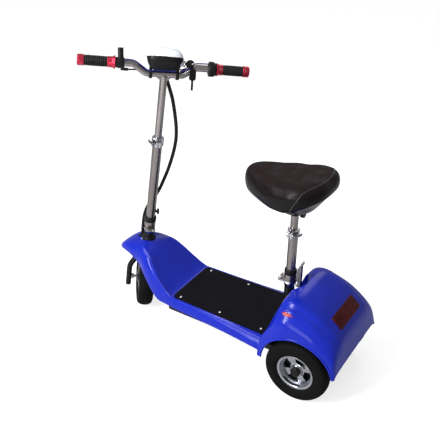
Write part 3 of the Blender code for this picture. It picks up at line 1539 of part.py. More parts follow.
def saddle_cushion(parent):
    """The crowned cushion with drawn-in sides, a dished top and a tail cut up below."""
    levels = [
        (0.12, 0.000, 0.0, 0.10),
        (0.62, 0.0100, 0.0, 0.95),
        (0.860, 0.0225, 0.1, 1.00),
        (0.960, 0.0380, 0.3, 0.72),
        (1.000, 0.0560, 0.7, 0.25),
        (0.985, 0.0690, 1.0, 0.04),
        (0.925, 0.0820, 1.0, 0.0),
        (0.830, 0.0900, 1.0, 0.0),
        (0.620, 0.0905, 1.0, 0.0),
        (0.280, 0.0880, 1.0, 0.0),
    ]
    sections = []
    for grow, height, climb, tuck in levels:
        share = SADDLE_THICK / 0.094
        row = []
        for x, y in saddle_outline(grow):
            row.append((x, y, height * share + saddle_height(y) * climb + saddle_tuck(y) * tuck))
        sections.append(row)
    piece = lofted("saddle_cushion", sections)
    return settle(piece, "vinyl", parent, (0, 0, SADDLE_Z + SADDLE_PAN_H + GAP - SEAT_JOINT_Z), sharp=80)


def saddle_knob():
    """The clamp knob behind the saddle's socket."""
    reach = SADDLE_SOCKET_R - SEAT_INNER_R
    outline = [
        (0, 0.0015),
        (0.0030, 0.0015),
        (0.0030, 0.0042 + reach),
        (0.0120, 0.0050 + reach),
        (0.0135, 0.0100 + reach),
        (0.0120, 0.0180 + reach),
        (0, 0.0190 + reach),
    ]
    piece = moved(turned("knob", outline, 12), turn(-90, "X"))
    return moved(piece, shift(y=SEAT_INNER_R, z=-0.019))


def saddle_pan(parent):
    """The saddle's plastic base with the socket for the post."""
    outline = saddle_outline(0.04)
    piece = prism("saddle_pan", outline, 0.0, SADDLE_PAN_H)
    socket = disc("socket", SADDLE_SOCKET_R, -SADDLE_SOCKET_H, 0.004)
    rib = slab("rib", (-0.012, -0.060, -0.010), (0.012, 0.040, 0.002))
    cross = slab("cross", (-0.045, -0.010, -0.0095), (0.045, 0.010, 0.0025))
    join(piece, socket, rib, cross)
    bore = disc("bore", SEAT_INNER_R + GAP, -SADDLE_SOCKET_H - 0.01, -0.004)
    cut(piece, bore)
    join(piece, saddle_knob())
    return settle(piece, "black_plastic", parent, (0, 0, SADDLE_Z - SEAT_JOINT_Z))


def seat_upper_tube(parent):
    """The sliding upper seat tube."""
    low = SEAT_INNER_START - SEAT_JOINT_Z
    high = SADDLE_Z - 0.004 - GAP - SEAT_JOINT_Z
    piece = ring("seat_upper_tube", SEAT_INNER_R, SEAT_INNER_R - 0.002, low, high)
    return settle(piece, "satin_tube", parent)


def steered(across, back, height):
    """A chassis point given in the turned steering column's frame."""
    lean = Matrix.Rotation(-RAKE, 3, "X")
    spin = Matrix.Rotation(STEER_TURN, 3, "Z")
    return Vector((0, FRONT_AXLE_Y, AXLE_Z)) + lean @ (spin @ Vector((across, back, height)))


def loom_entry():
    """Where the loom goes through the cowl."""
    return steered(LOOM_ENTRY_ACROSS, LOOM_ENTRY_FRONT, HEAD_TOP + 0.009)


def looms(chassis, column_foot, column, bar):
    """The three stretches of the main loom and the loose wires on the bar."""
    upper = [(x, y, z - BAR_MID) for x, y, z in LOOM_ROUTE]
    cable("loom_upper", bar, upper, LOOM_R, "cable_black", 20, 8)
    hinge = (HINGE_Y, STEM_JOINT)
    middle = [(x, y - hinge[0], z - hinge[1]) for x, y, z in LOOM_MIDDLE]
    way = Vector(middle[1]) - Vector(middle[0])
    middle[0] = tuple(Vector(middle[0]) + way.normalized() * GAP * 2)
    cable("loom_middle", column, middle, LOOM_R, "cable_black", 13, 8)
    last = LOOM_MIDDLE[-1]
    head_y = column_point(HEAD_TOP).y
    lower = [
        steered(last[0], last[1], last[2] - GAP * 2),
        steered(LOOM_ENTRY_ACROSS, LOOM_ENTRY_FRONT, HEAD_TOP + 0.030),
        loom_entry(),
        Vector((0.009, head_y - 0.040, AXLE_Z + 0.1635)),
        Vector((0.033, head_y - 0.030, AXLE_Z + 0.1570)),
        Vector((0.043, head_y - 0.004, AXLE_Z + 0.1530)),
        Vector((0.044, head_y + 0.026, AXLE_Z + 0.1460)),
        Vector((0.042, head_y + 0.060, AXLE_Z + 0.1260)),
        Vector((0.039, head_y + 0.094, AXLE_Z + 0.0980)),
        Vector((0.037, head_y + 0.139, AXLE_Z + 0.0560)),
        Vector((0.034, RAMP_FOOT_Y - 0.0160, AXLE_Z + 0.0190)),
        Vector((LOOM_PAN_X, RAMP_FOOT_Y - 0.0050, AXLE_Z + 0.0075)),
        Vector((0.0230, RAMP_FOOT_Y + 0.0270, AXLE_Z + 0.0005)),
        Vector((0.0200, RAMP_FOOT_Y + 0.0591, AXLE_Z + 0.0005)),
    ]
    cable("loom_lower", chassis, lower, LOOM_R, "cable_black", 25, 8)


def bar_wires(bar):
    """The brake cable and the two thin wires along the handlebar."""
    barrel_end = (BRAKE_X - 0.0185, -0.013, BAR_RISE - 0.0265)
    brake = [
        barrel_end,
        (BRAKE_X - 0.032, -0.0145, BAR_RISE - 0.0262),
        (0.078, -0.0220, 0.0000),
        (0.050, -0.0290, -0.0070),
        (0.024, -0.0300, -0.0090),
        (0.010, -0.0275, -0.0070),
        (0.0012, -0.0258, -0.0062),
    ]
    cable("brake_cable", bar, brake, CABLE_R, "cable_black", 16, 6)
    left = [
        (BRAKE_X - 0.0045, 0.0060, BAR_RISE + 0.0150),
        (0.118, 0.0045, BAR_RISE + 0.0145),
        (0.098, 0.0035, BAR_RISE + 0.0120),
        (0.078, 0.0030, BAR_RISE - 0.0002),
        (0.060, 0.0060, BAR_R + 0.0059),
        (0.0500, 0.0125, BAR_R + 0.0039),
        (0.0380, 0.0130, BAR_R + 0.0039),
        (0.0310, 0.0110, BAR_R + 0.0049),
        (0.0270, 0.0090, BAR_R + 0.0074),
    ]
    cable("brake_switch_wire", bar, left, WIRE_R, "wire_blue", 17, 6)
    right = [
        (-RIGHT_HOUSING_IN + 0.0005, -0.0060, BAR_RISE + 0.0145),
        (-0.118, -0.0060, BAR_RISE + 0.0140),
        (-0.098, -0.0060, BAR_RISE + 0.0115),
        (-0.078, -0.0060, BAR_RISE - 0.0002),
        (-0.060, -0.0090, BAR_R + 0.0054),
        (-0.0500, -0.0150, BAR_R + 0.0039),
        (-0.0360, -0.0155, BAR_R + 0.0039),
        (-0.0290, -0.0135, BAR_R + 0.0049),
        (-0.0250, -0.0115, BAR_R + 0.0074),
    ]
    cable("throttle_wire", bar, right, WIRE_R, "wire_blue", 17, 6)


def build_chassis():
    """Everything that stays with the frame."""
    frame(None)
    lean = pivot("rake", None, (0, FRONT_AXLE_Y, AXLE_Z), (-RAKE, 0, 0))
    headset_ring("headset_lower", lean, HEAD_BOTTOM + GAP)
    headset_ring("headset_upper", lean, HEAD_TOP - HEADSET_T - GAP)
    front_body(None)
    deck_mat(None)
    belly_pan(None)
    rear_hood(None)
    settle(lamp_body("tail_lamp_lens", 0.0), "red_lens", None)
    settle(marker_body("side_marker_left", 1, 0.0), "red_lens", None)
    settle(marker_body("side_marker_right", -1, 0.0), "red_lens", None)
    battery_pack(None)
    controller(None)
    rear_axle(pivot("rear_axle_line", None, (0, REAR_AXLE_Y, AXLE_Z)))
    left = pivot("rear_left_spin", None, (REAR_TRACK / 2, REAR_AXLE_Y, AXLE_Z), (0, math.pi / 2, 0))
    right = pivot("rear_right_spin", None, (-REAR_TRACK / 2, REAR_AXLE_Y, AXLE_Z), (0, -math.pi / 2, 0))
    rear_wheel("left", left)
    rear_wheel("right", right)
    return lean


def build_steering(lean):
    """The turned fork with its wheel, the folding stem and the handlebar."""
    steer = pivot("steer", lean, (0, 0, 0), (0, 0, STEER_TURN))
    fork(steer)
    column_boot(steer)
    motor_axle(steer)
    spin = pivot("front_spin", steer, (0, 0, 0), (0, math.pi / 2, 0))
    tyre("tyre_front", spin)
    hub_motor(spin)
    fold_base("stem_fold_base", steer, (0, 0, STEM_JOINT), STEERER_R)
    fold_pin("stem_fold_pin", steer, (0, HINGE_Y, STEM_JOINT))
    latch = pivot("stem_latch", steer, (0, -LATCH_PIVOT_Y, STEM_JOINT - LATCH_PIVOT_DROP))
    fold_lever("stem_fold_lever", latch)
    fold = pivot("stem_fold", steer, (0, HINGE_Y, STEM_JOINT))
    stem = fold_head("stem_lower_tube", STEM_TUBE_R, STEM_TUBE_BORE_R, STEM_TUBE_TOP - STEM_JOINT)
    knob_low = JOINT_BLOCK_H + SLEEVE_LENGTH + 0.020
    settle(moved(stem, shift(y=-HINGE_Y)), "satin_tube", fold)
    knob_spin = pivot("stem_knob_turn", fold, (-STEM_TUBE_R - GAP, -HINGE_Y, knob_low), (0, -math.pi / 2, 0))
    settle(lock_knob(), "black_plastic", knob_spin)
    collar_at = (0, -HINGE_Y, STEM_TUBE_TOP - STEM_JOINT)
    clamp_collar("stem_clamp", fold, collar_at, STEM_TUBE_R, STEM_INNER_R, 1)
    lever = clamp_pivot("stem_clamp_turn", fold, collar_at, STEM_TUBE_R, 1)
    clamp_lever("stem_clamp_lever", lever, 1, STEM_TUBE_R)
    bar = pivot("stem_slide", fold, (0, -HINGE_Y, BAR_MID - STEM_JOINT))
    return steer, fold, bar


def build_bar(bar):
    """Everything on the handlebar."""
    handlebar(bar)
    display_base(bar)
    display_cover(bar)
    headlight_lens(bar)
    key_switch(bar)
    key = pivot("key_turn", bar, (-UNIT_HALF_W - 0.0055, KEY_Y, KEY_UP), (0, -math.pi / 2, 0))
    ignition_key(key)
    spare_key(pivot("spare_key_swing", key, (0, 0, KEY_RING_UP), (SPARE_LEAN, math.pi / 2, 0)))
    brake_perch(bar)
    grip("grip_left", bar, 1, LEFT_RING_IN, LEFT_RING_OUT)
    throttle_housing(bar)
    twist = pivot("throttle_twist", bar, (0, 0, BAR_RISE))
    grip("throttle_grip", twist, -1, RIGHT_HOUSING_OUT, RIGHT_RING_OUT, -BAR_RISE)
    place = brake_plane(BRAKE_REACH) + Vector((BRAKE_X, 0, 0))
    squeeze = pivot("brake_squeeze", bar, place, (BRAKE_TILT, 0, 0))
    brake_lever(squeeze)
    bar_wires(bar)


def build_seat():
    """The folding seat post and the saddle."""
    post = (0, SEAT_POST_Y, SEAT_JOINT_Z)
    about = (0, 0, math.pi)
    fold_base("seat_fold_base", None, post, STEERER_R, about)
    hinge_at = (0, SEAT_POST_Y - HINGE_Y, SEAT_JOINT_Z)
    fold_pin("seat_fold_pin", None, hinge_at, about)
    latch = pivot("seat_latch", None, (0, SEAT_POST_Y + LATCH_PIVOT_Y, SEAT_JOINT_Z - LATCH_PIVOT_DROP), about)
    fold_lever("seat_fold_lever", latch)
    fold = pivot("seat_fold", None, hinge_at, about)
    tube_length = SEAT_TUBE_TOP - SEAT_JOINT_Z
    tube = fold_head("seat_lower_tube", SEAT_TUBE_R, SEAT_TUBE_BORE_R, tube_length)
    settle(moved(tube, shift(y=-HINGE_Y)), "satin_tube", fold)
    collar_at = (0, -HINGE_Y, tube_length)
    clamp_collar("seat_clamp", fold, collar_at, SEAT_TUBE_R, SEAT_INNER_R, -1, (0, 0, math.pi / 2))
    lever = clamp_pivot("seat_clamp_turn", fold, collar_at, SEAT_TUBE_R, -1, math.pi / 2)
    clamp_lever("seat_clamp_lever", lever, -1, SEAT_TUBE_R)
    slide = pivot("seat_slide", fold, (0, -HINGE_Y, 0), about)
    seat_upper_tube(slide)
    saddle_pan(slide)
    saddle_cushion(slide)


def main():
    """Build the whole tricycle."""
    clear_scene()
    lean = build_chassis()
    steer, fold, bar = build_steering(lean)
    build_bar(bar)
    build_seat()
    looms(None, steer, fold, bar)


main()
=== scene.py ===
"""Looks of the folding electric tricycle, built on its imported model.

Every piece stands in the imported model's frame: metres, Z up, -Y to the front
of the vehicle and +X to its left. The steering stands turned to the right.
"""

from __future__ import annotations

import json
import logging
import math
from dataclasses import dataclass
from enum import Enum
from functools import partial
from typing import Callable, Iterable, Mapping, Sequence, TypeVar, Union

import bmesh
import bpy
from mathutils import Matrix, Vector
from mathutils.bvhtree import BVHTree

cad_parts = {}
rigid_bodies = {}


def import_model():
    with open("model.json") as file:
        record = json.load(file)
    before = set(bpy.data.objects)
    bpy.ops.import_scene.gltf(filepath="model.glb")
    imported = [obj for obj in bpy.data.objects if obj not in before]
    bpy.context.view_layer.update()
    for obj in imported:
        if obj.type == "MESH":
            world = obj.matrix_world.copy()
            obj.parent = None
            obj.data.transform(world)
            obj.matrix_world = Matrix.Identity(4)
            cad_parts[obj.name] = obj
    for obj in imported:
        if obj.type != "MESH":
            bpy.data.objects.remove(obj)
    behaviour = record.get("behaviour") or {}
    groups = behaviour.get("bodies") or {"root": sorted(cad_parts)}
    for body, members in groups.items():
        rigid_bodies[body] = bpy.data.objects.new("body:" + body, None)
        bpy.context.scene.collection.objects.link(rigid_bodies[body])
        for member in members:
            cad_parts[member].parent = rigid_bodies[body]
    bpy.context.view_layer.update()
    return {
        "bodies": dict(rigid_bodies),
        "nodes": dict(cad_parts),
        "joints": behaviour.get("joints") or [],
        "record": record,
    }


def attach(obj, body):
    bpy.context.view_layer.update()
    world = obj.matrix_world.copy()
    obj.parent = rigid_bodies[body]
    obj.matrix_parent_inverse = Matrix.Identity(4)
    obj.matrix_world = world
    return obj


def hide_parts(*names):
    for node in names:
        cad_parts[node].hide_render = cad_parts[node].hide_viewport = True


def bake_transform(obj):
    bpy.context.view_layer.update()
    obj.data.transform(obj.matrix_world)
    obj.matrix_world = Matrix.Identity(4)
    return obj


LOG = logging.getLogger("tricycle")

Point = tuple[float, float, float]
Pair = tuple[float, float]
Colour = tuple[float, float, float]
Outline = tuple[Pair, ...]
Route = tuple[Point, ...]
Rows = Sequence[Sequence[float]]
Piece = bpy.types.Object
Socket = bpy.types.NodeSocket
Tree = bpy.types.ShaderNodeTree
Node = bpy.types.ShaderNode
Feed = Union[Socket, float, Sequence[float]]
Knot = TypeVar("Knot", float, Vector)


# Frames of the vehicle


def turned(degrees: float, axis: str) -> Matrix:
    """A rotation of so many degrees about X, Y or Z."""
    return Matrix.Rotation(math.radians(degrees), 4, axis)


def shifted(x: float = 0.0, y: float = 0.0, z: float = 0.0) -> Matrix:
    """A move along the three axes."""
    return Matrix.Translation((x, y, z))


@dataclass(frozen=True)
class Places:
    """Where the main groups of the vehicle sit."""

    front_axle: Point = (0.0, -0.387, 0.1125)
    rear_axle: Point = (0.0, 0.357, 0.1125)
    half_track: float = 0.153
    rake: float = 8.15
    steer: float = -49.8
    head_top: float = 0.1814
    stem_joint: float = 0.2429
    bar_middle: float = 0.8454
    bar_rise: float = 0.029
    seat_y: float = 0.235
    seat_joint: float = 0.3345
    deck: float = 0.1675

    def lean(self) -> Matrix:
        """The raked steering axis, before the steering's turn."""
        return Matrix.Translation(self.front_axle) @ turned(-self.rake, "X")

    def column(self) -> Matrix:
        """The turned steering column, with heights along its axis."""
        return self.lean() @ turned(self.steer, "Z")

    def bar(self) -> Matrix:
        """The handlebar's middle, with X along the bar to its left end."""
        return self.column() @ shifted(z=self.bar_middle)

    def seat(self) -> Matrix:
        """The split plane of the seat post's folding joint."""
        return shifted(y=self.seat_y, z=self.seat_joint)


PLACES = Places()


# Mesh tools


def linked(name: str, data: bpy.types.ID) -> Piece:
    """A new object of some data, put in the scene.

    Args:
        name: The object's name.
        data: Its mesh, lamp or camera.

    Returns:
        The object.
    """
    thing = bpy.data.objects.new(name, data)
    bpy.context.scene.collection.objects.link(thing)
    return thing


def hermite(before: Knot, start: Knot, end: Knot, after: Knot, share: float) -> Knot:
    """A place on the smooth curve between the middle two of four knots.

    Args:
        before: The knot before the span.
        start: The span's first knot.
        end: Its last knot.
        after: The knot after the span.
        share: How far along the span the place is.

    Returns:
        The place.
    """
    pull = (end - before) * 0.5
    push = (after - start) * 0.5
    return (
        start * (2 * share**3 - 3 * share**2 + 1)
        + pull * (share**3 - 2 * share**2 + share)
        + end * (3 * share**2 - 2 * share**3)
        + push * (share**3 - share**2)
    )


def mesh(name: str, points: Rows, faces: Sequence[Sequence[int]]) -> Piece:
    """Make an object from points and faces.

    Args:
        name: The piece's name.
        points: Its corners.
        faces: Its faces, as numbers of corners.

    Returns:
        The new object, with its faces turned outwards.
    """
    data = bpy.data.meshes.new(name)
    data.from_pydata([tuple(point) for point in points], [], [tuple(face) for face in faces])
    work = bmesh.new()
    work.from_mesh(data)
    bmesh.ops.recalc_face_normals(work, faces=work.faces)
    work.to_mesh(data)
    work.free()
    return linked(name, data)


def revolve(name: str, outline: Sequence[Pair], steps: int = 64, loop: bool = False) -> Piece:
    """Turn an outline about the Z axis.

    Args:
        name: The piece's name.
        outline: Pairs of radius and height.
        steps: How many steps one turn has.
        loop: Whether the outline's end joins its start.

    Returns:
        The turned piece.
    """
    points: list[Point] = []
    rows: list[list[int]] = []
    for radius, height in outline:
        if radius < 1e-6:
            rows.append([len(points)] * steps)
            points.append((0.0, 0.0, height))
            continue
        rows.append(list(range(len(points), len(points) + steps)))
        for step in range(steps):
            angle = math.tau * step / steps
            points.append((radius * math.cos(angle), radius * math.sin(angle), height))
    pairs = list(zip(rows, rows[1:] + rows[:1])) if loop else list(zip(rows, rows[1:]))
    faces = []
    for low, high in pairs:
        for step in range(steps):
            after = (step + 1) % steps
            face = list(dict.fromkeys((low[step], low[after], high[after], high[step])))
            if len(face) > 2:
                faces.append(face)
    return mesh(name, points, faces)


def curve(route: Rows, count: int) -> list[Vector]:
    """Spread points on a smooth curve through a route.

    Args:
        route: The points that the curve passes.
        count: How many points to give back.

    Returns:
        Points at even steps of the route's length.
    """
    knots = [Vector(point) for point in route]
    knots = [knots[0] * 2 - knots[1], *knots, knots[-1] * 2 - knots[-2]]
    dense: list[Vector] = []
    for number in range(1, len(knots) - 2):
        before, start, end, after = knots[number - 1 : number + 3]
        dense += [hermite(before, start, end, after, step / 16) for step in range(16)]
    dense.append(knots[-2])
    lengths = [0.0]
    for start, end in zip(dense, dense[1:]):
        lengths.append(lengths[-1] + (end - start).length)
    spread = []
    at = 0
    for step in range(count):
        target = lengths[-1] * step / (count - 1)
        while at < len(lengths) - 2 and lengths[at + 1] < target:
            at += 1
        span = max(lengths[at + 1] - lengths[at], 1e-9)
        spread.append(dense[at].lerp(dense[at + 1], min(1.0, (target - lengths[at]) / span)))
    return spread


def tube(
    name: str,
    route: Rows,
    radius: float | Callable[[float, float], float],
    sides: int = 20,
    loop: bool = False,
) -> Piece:
    """Run a round section along a route.

    Args:
        name: The piece's name.
        route: The centre line.
        radius: The section's radius, or a function of the share of the
            route and the angle that gives it.
        sides: How many sides the section has.
        loop: Whether the route is a closed ring.

    Returns:
        The tube, closed at its ends unless it is a ring.
    """
    line = [Vector(point) for point in route]
    total = len(line)
    ways = []
    for number in range(total):
        if loop:
            ways.append((line[(number + 1) % total] - line[number - 1]).normalized())
        else:
            ways.append((line[min(number + 1, total - 1)] - line[max(number - 1, 0)]).normalized())
    side = ways[0].orthogonal().normalized()
    sections: list[list[Vector]] = []
    for number, (centre, way) in enumerate(zip(line, ways)):
        side = (side - way * side.dot(way)).normalized()
        other = way.cross(side)
        section = []
        for step in range(sides):
            angle = math.tau * step / sides
            reach = radius(number / max(total - 1, 1), angle) if callable(radius) else radius
            section.append(centre + (side * math.cos(angle) + other * math.sin(angle)) * reach)
        sections.append(section)
    return loft(name, sections, caps=not loop, loop=loop)


def loft(
    name: str,
    sections: Sequence[Rows],
    ring: bool = True,
    caps: bool = True,
    loop: bool = False,
) -> Piece:
    """Skin a row of sections of equal counts.

    Args:
        name: The piece's name.
        sections: The sections, each a list of points.
        ring: Whether each section is a closed loop.
        caps: Whether the first and the last section are filled.
        loop: Whether the last section joins the first.

    Returns:
        The skinned piece.
    """
    count, width = len(sections), len(sections[0])
    points = [point for section in sections for point in section]
    faces: list[list[int]] = []
    for row in range(count if loop else count - 1):
        here, there = row * width, (row + 1) % count * width
        for step in range(width if ring else width - 1):
            after = (step + 1) % width
            faces.append([here + step, here + after, there + after, there + step])
    if ring and caps:
        faces.append(list(range(width)))
        faces.append([(count - 1) * width + step for step in range(width)])
    return mesh(name, points, faces)


def peg(radius: float, low: float, high: float, steps: int, upper: float | None = None) -> Piece:
    """A cutter: a solid round peg, or a cone where its upper radius differs."""
    top = radius if upper is None else upper
    return revolve("peg", [(0, low), (radius, low), (top, high), (0, high)], steps)


def walled(piece: Piece, thickness: float, offset: float = -1.0) -> Piece:
    """Thicken a sheet.

    Args:
        piece: The sheet.
        thickness: Its wall, in metres.
        offset: -1 for a wall inside the sheet, 0 for one to both sides.

    Returns:
        The thickened piece.
    """
    wall = piece.modifiers.new("wall", "SOLIDIFY")
    wall.thickness = thickness
    wall.offset = offset
    wall.use_even_offset = offset < 0
    return baked(piece)


def reshaped(piece: Piece, change: Callable[[float, float, float], float]) -> Piece:
    """Move a turned piece's points towards its axis or away.

    Args:
        piece: The piece about the Z axis.
        change: A function of a point's reach, angle and height that gives
            the factor of its reach.

    Returns:
        The piece.
    """
    for vertex in piece.data.vertices:
        x, y, z = vertex.co
        scale = change(math.hypot(x, y), math.atan2(y, x), z)
        vertex.co.x *= scale
        vertex.co.y *= scale
    return piece


def fluted(
    least: float, count: int, depth: float, power: int, reach: float, angle: float, _: float
) -> float:
    """The factor of a point's reach where flutes run beyond a least radius.

    Args:
        least: The radius beyond which the flutes lie.
        count: How many flutes there are.
        depth: Their depth, as a share of the radius.
        power: How narrow they are.
        reach: The point's distance from the axis.
        angle: Its angle about the axis.

    Returns:
        The factor.
    """
    if reach <= least:
        return 1.0
    return 1.0 - depth * max(0.0, math.cos(angle * count)) ** power


def placed(piece: Piece, place: Matrix) -> Piece:
    """Move a piece's mesh, and leave its object at the origin.

    Args:
        piece: The piece.
        place: How it moves and turns.

    Returns:
        The piece.
    """
    piece.data.transform(place)
    if place.determinant() < 0:
        piece.data.flip_normals()
    return piece


def joined(name: str, pieces: Sequence[Piece]) -> Piece:
    """Put the meshes of several pieces into one object.

    Args:
        name: The new piece's name.
        pieces: The pieces, which are used up.

    Returns:
        The new piece.
    """
    work = bmesh.new()
    for piece in pieces:
        work.from_mesh(piece.data)
        bpy.data.objects.remove(piece)
    data = bpy.data.meshes.new(name)
    work.to_mesh(data)
    work.free()
    return linked(name, data)


def baked(piece: Piece) -> Piece:
    """Apply a piece's modifiers to its mesh.

    Args:
        piece: The piece.

    Returns:
        The piece.
    """
    graph = bpy.context.evaluated_depsgraph_get()
    graph.update()
    data = bpy.data.meshes.new_from_object(piece.evaluated_get(graph))
    piece.modifiers.clear()
    piece.data = data
    return piece


def cut(piece: Piece, *tools: Piece) -> Piece:
    """Take tools out of a piece and remove them.

    Args:
        piece: The piece.
        tools: The cutters.

    Returns:
        The piece.
    """
    for tool in tools:
        step = piece.modifiers.new("cut", "BOOLEAN")
        step.operation = "DIFFERENCE"
        step.solver = "EXACT"
        step.object = tool
    baked(piece)
    for tool in tools:
        bpy.data.objects.remove(tool)
    return piece


def smooth(piece: Piece, sharp: float) -> Piece:
    """Shade a piece smooth, with edges over so many degrees left sharp.

    Args:
        piece: The piece.
        sharp: The least angle of an edge that stays sharp.

    Returns:
        The piece.
    """
    piece.data.polygons.foreach_set("use_smooth", [True] * len(piece.data.polygons))
    piece.data.set_sharp_from_angle(angle=math.radians(sharp))
    return piece


def rounded(piece: Piece, width: float, steps: int = 2, angle: float = 35.0) -> Piece:
    """Round a piece's sharp edges with a bevel and even out its shading.

    Args:
        piece: The piece.
        width: The bevel's width, in metres.
        steps: How many steps it has.
        angle: The least angle of an edge that is rounded.

    Returns:
        The piece.
    """
    bevel = piece.modifiers.new("round", "BEVEL")
    bevel.width = width
    bevel.segments = steps
    bevel.limit_method = "ANGLE"
    bevel.angle_limit = math.radians(angle)
    bevel.use_clamp_overlap = True
    piece.data.polygons.foreach_set("use_smooth", [True] * len(piece.data.polygons))
    even = piece.modifiers.new("shade", "WEIGHTED_NORMAL")
    even.keep_sharp = True
    return piece


def spline(values: Rows, steps: int) -> list[list[float]]:
    """Refine rows of numbers with a smooth curve through each column.

    Args:
        values: Rows of numbers of equal length.
        steps: How many new rows each span gets.

    Returns:
        The refined rows, with the given ones among them.
    """
    rows = [list(row) for row in values]
    ends = [
        [2 * a - b for a, b in zip(rows[0], rows[1])],
        [2 * a - b for a, b in zip(rows[-1], rows[-2])],
    ]
    knots = [ends[0], *rows, ends[1]]
    fine = []
    for number in range(1, len(knots) - 2):
        span = list(zip(*knots[number - 1 : number + 3]))
        for step in range(steps):
            fine.append([hermite(*column, step / steps) for column in span])
    fine.append(rows[-1])
    return fine


def skin(points: Sequence[Point], breaks: Sequence[int], steps: int) -> list[Point]:
    """Refine one section, keeping corners at the points numbered in breaks.

    Args:
        points: The section's points.
        breaks: The numbers of its corners.
        steps: How many new points each span gets.

    Returns:
        The refined section.
    """
    marks = [0, *breaks, len(points) - 1]
    fine: list[Point] = []
    for start, end in zip(marks, marks[1:]):
        part = points[start : end + 1]
        refined = spline(part, steps) if len(part) > 2 else spline([part[0], part[1]], steps)
        fine += [tuple(point) for point in (refined if end == marks[-1] else refined[:-1])]
    return fine


# Shader node groups


@dataclass
class Wiring:
    """Adds nodes to one shader tree and joins them."""

    tree: Tree

    def feed(self, node: Node, inputs: dict[str | int, Feed]) -> None:
        """Join a node's inputs to other sockets, or set their values.

        Args:
            node: The node.
            inputs: A socket or a value for each input's name or number.
        """
        for label, value in inputs.items():
            if isinstance(value, Socket):
                self.tree.links.new(value, node.inputs[label])
            else:
                node.inputs[label].default_value = value

    def add(
        self, kind: str, inputs: dict[str | int, Feed] | None = None, **settings: object
    ) -> Node:
        """Add a node.

        Args:
            kind: The node's type, without its first word.
            inputs: A socket or a value for each input's name or number.
            settings: The node's own options, set before its inputs.

        Returns:
            The node.
        """
        node = self.tree.nodes.new(f"ShaderNode{kind}")
        for label, value in settings.items():
            setattr(node, label, value)
        self.feed(node, inputs or {})
        return node

    def place(self) -> Socket:
        """The surface's place in its object's own frame."""
        return self.add("TexCoord").outputs["Object"]

    def noise(self, where: Socket, scale: Feed, detail: Feed, distortion: float = 0.0) -> Socket:
        """Soft noise over the surface."""
        inputs = {"Vector": where, "Scale": scale, "Detail": detail, "Distortion": distortion}
        return self.add("TexNoise", inputs).outputs["Fac"]

    def stretched(self, scale: Point, turn: Point = (0.0, 0.0, 0.0)) -> Socket:
        """The surface's place, stretched and turned."""
        inputs = {"Vector": self.place(), "Scale": scale, "Rotation": turn}
        return self.add("Mapping", inputs).outputs["Vector"]

    def math(self, kind: str, first: Feed, second: Feed, third: Feed = 0.0, clamp: bool = False) -> Socket:
        """The result of a sum with two or three values."""
        inputs = {0: first, 1: second, 2: third}
        return self.add("Math", inputs, operation=kind, use_clamp=clamp).outputs["Value"]

    def spread(self, value: Socket, low: float, high: float) -> Socket:
        """A value spread from nought at the low level to one at the high level."""
        return self.add("MapRange", {"Value": value, "From Min": low, "From Max": high}).outputs["Result"]

    def mix(self, mask: Socket, first: Feed, second: Feed) -> Socket:
        """Two colours, each a colour or a socket, mixed by a mask."""
        pair = [(*value, 1.0) if isinstance(value, tuple) else value for value in (first, second)]
        return self.add("Mix", {"Factor": mask, 6: pair[0], 7: pair[1]}, data_type="RGBA").outputs[2]

    def effect(self, name: str, **values: float) -> Node:
        """Place a shared effect with its own values."""
        return self.add("Group", values, node_tree=Effects.tree(name))


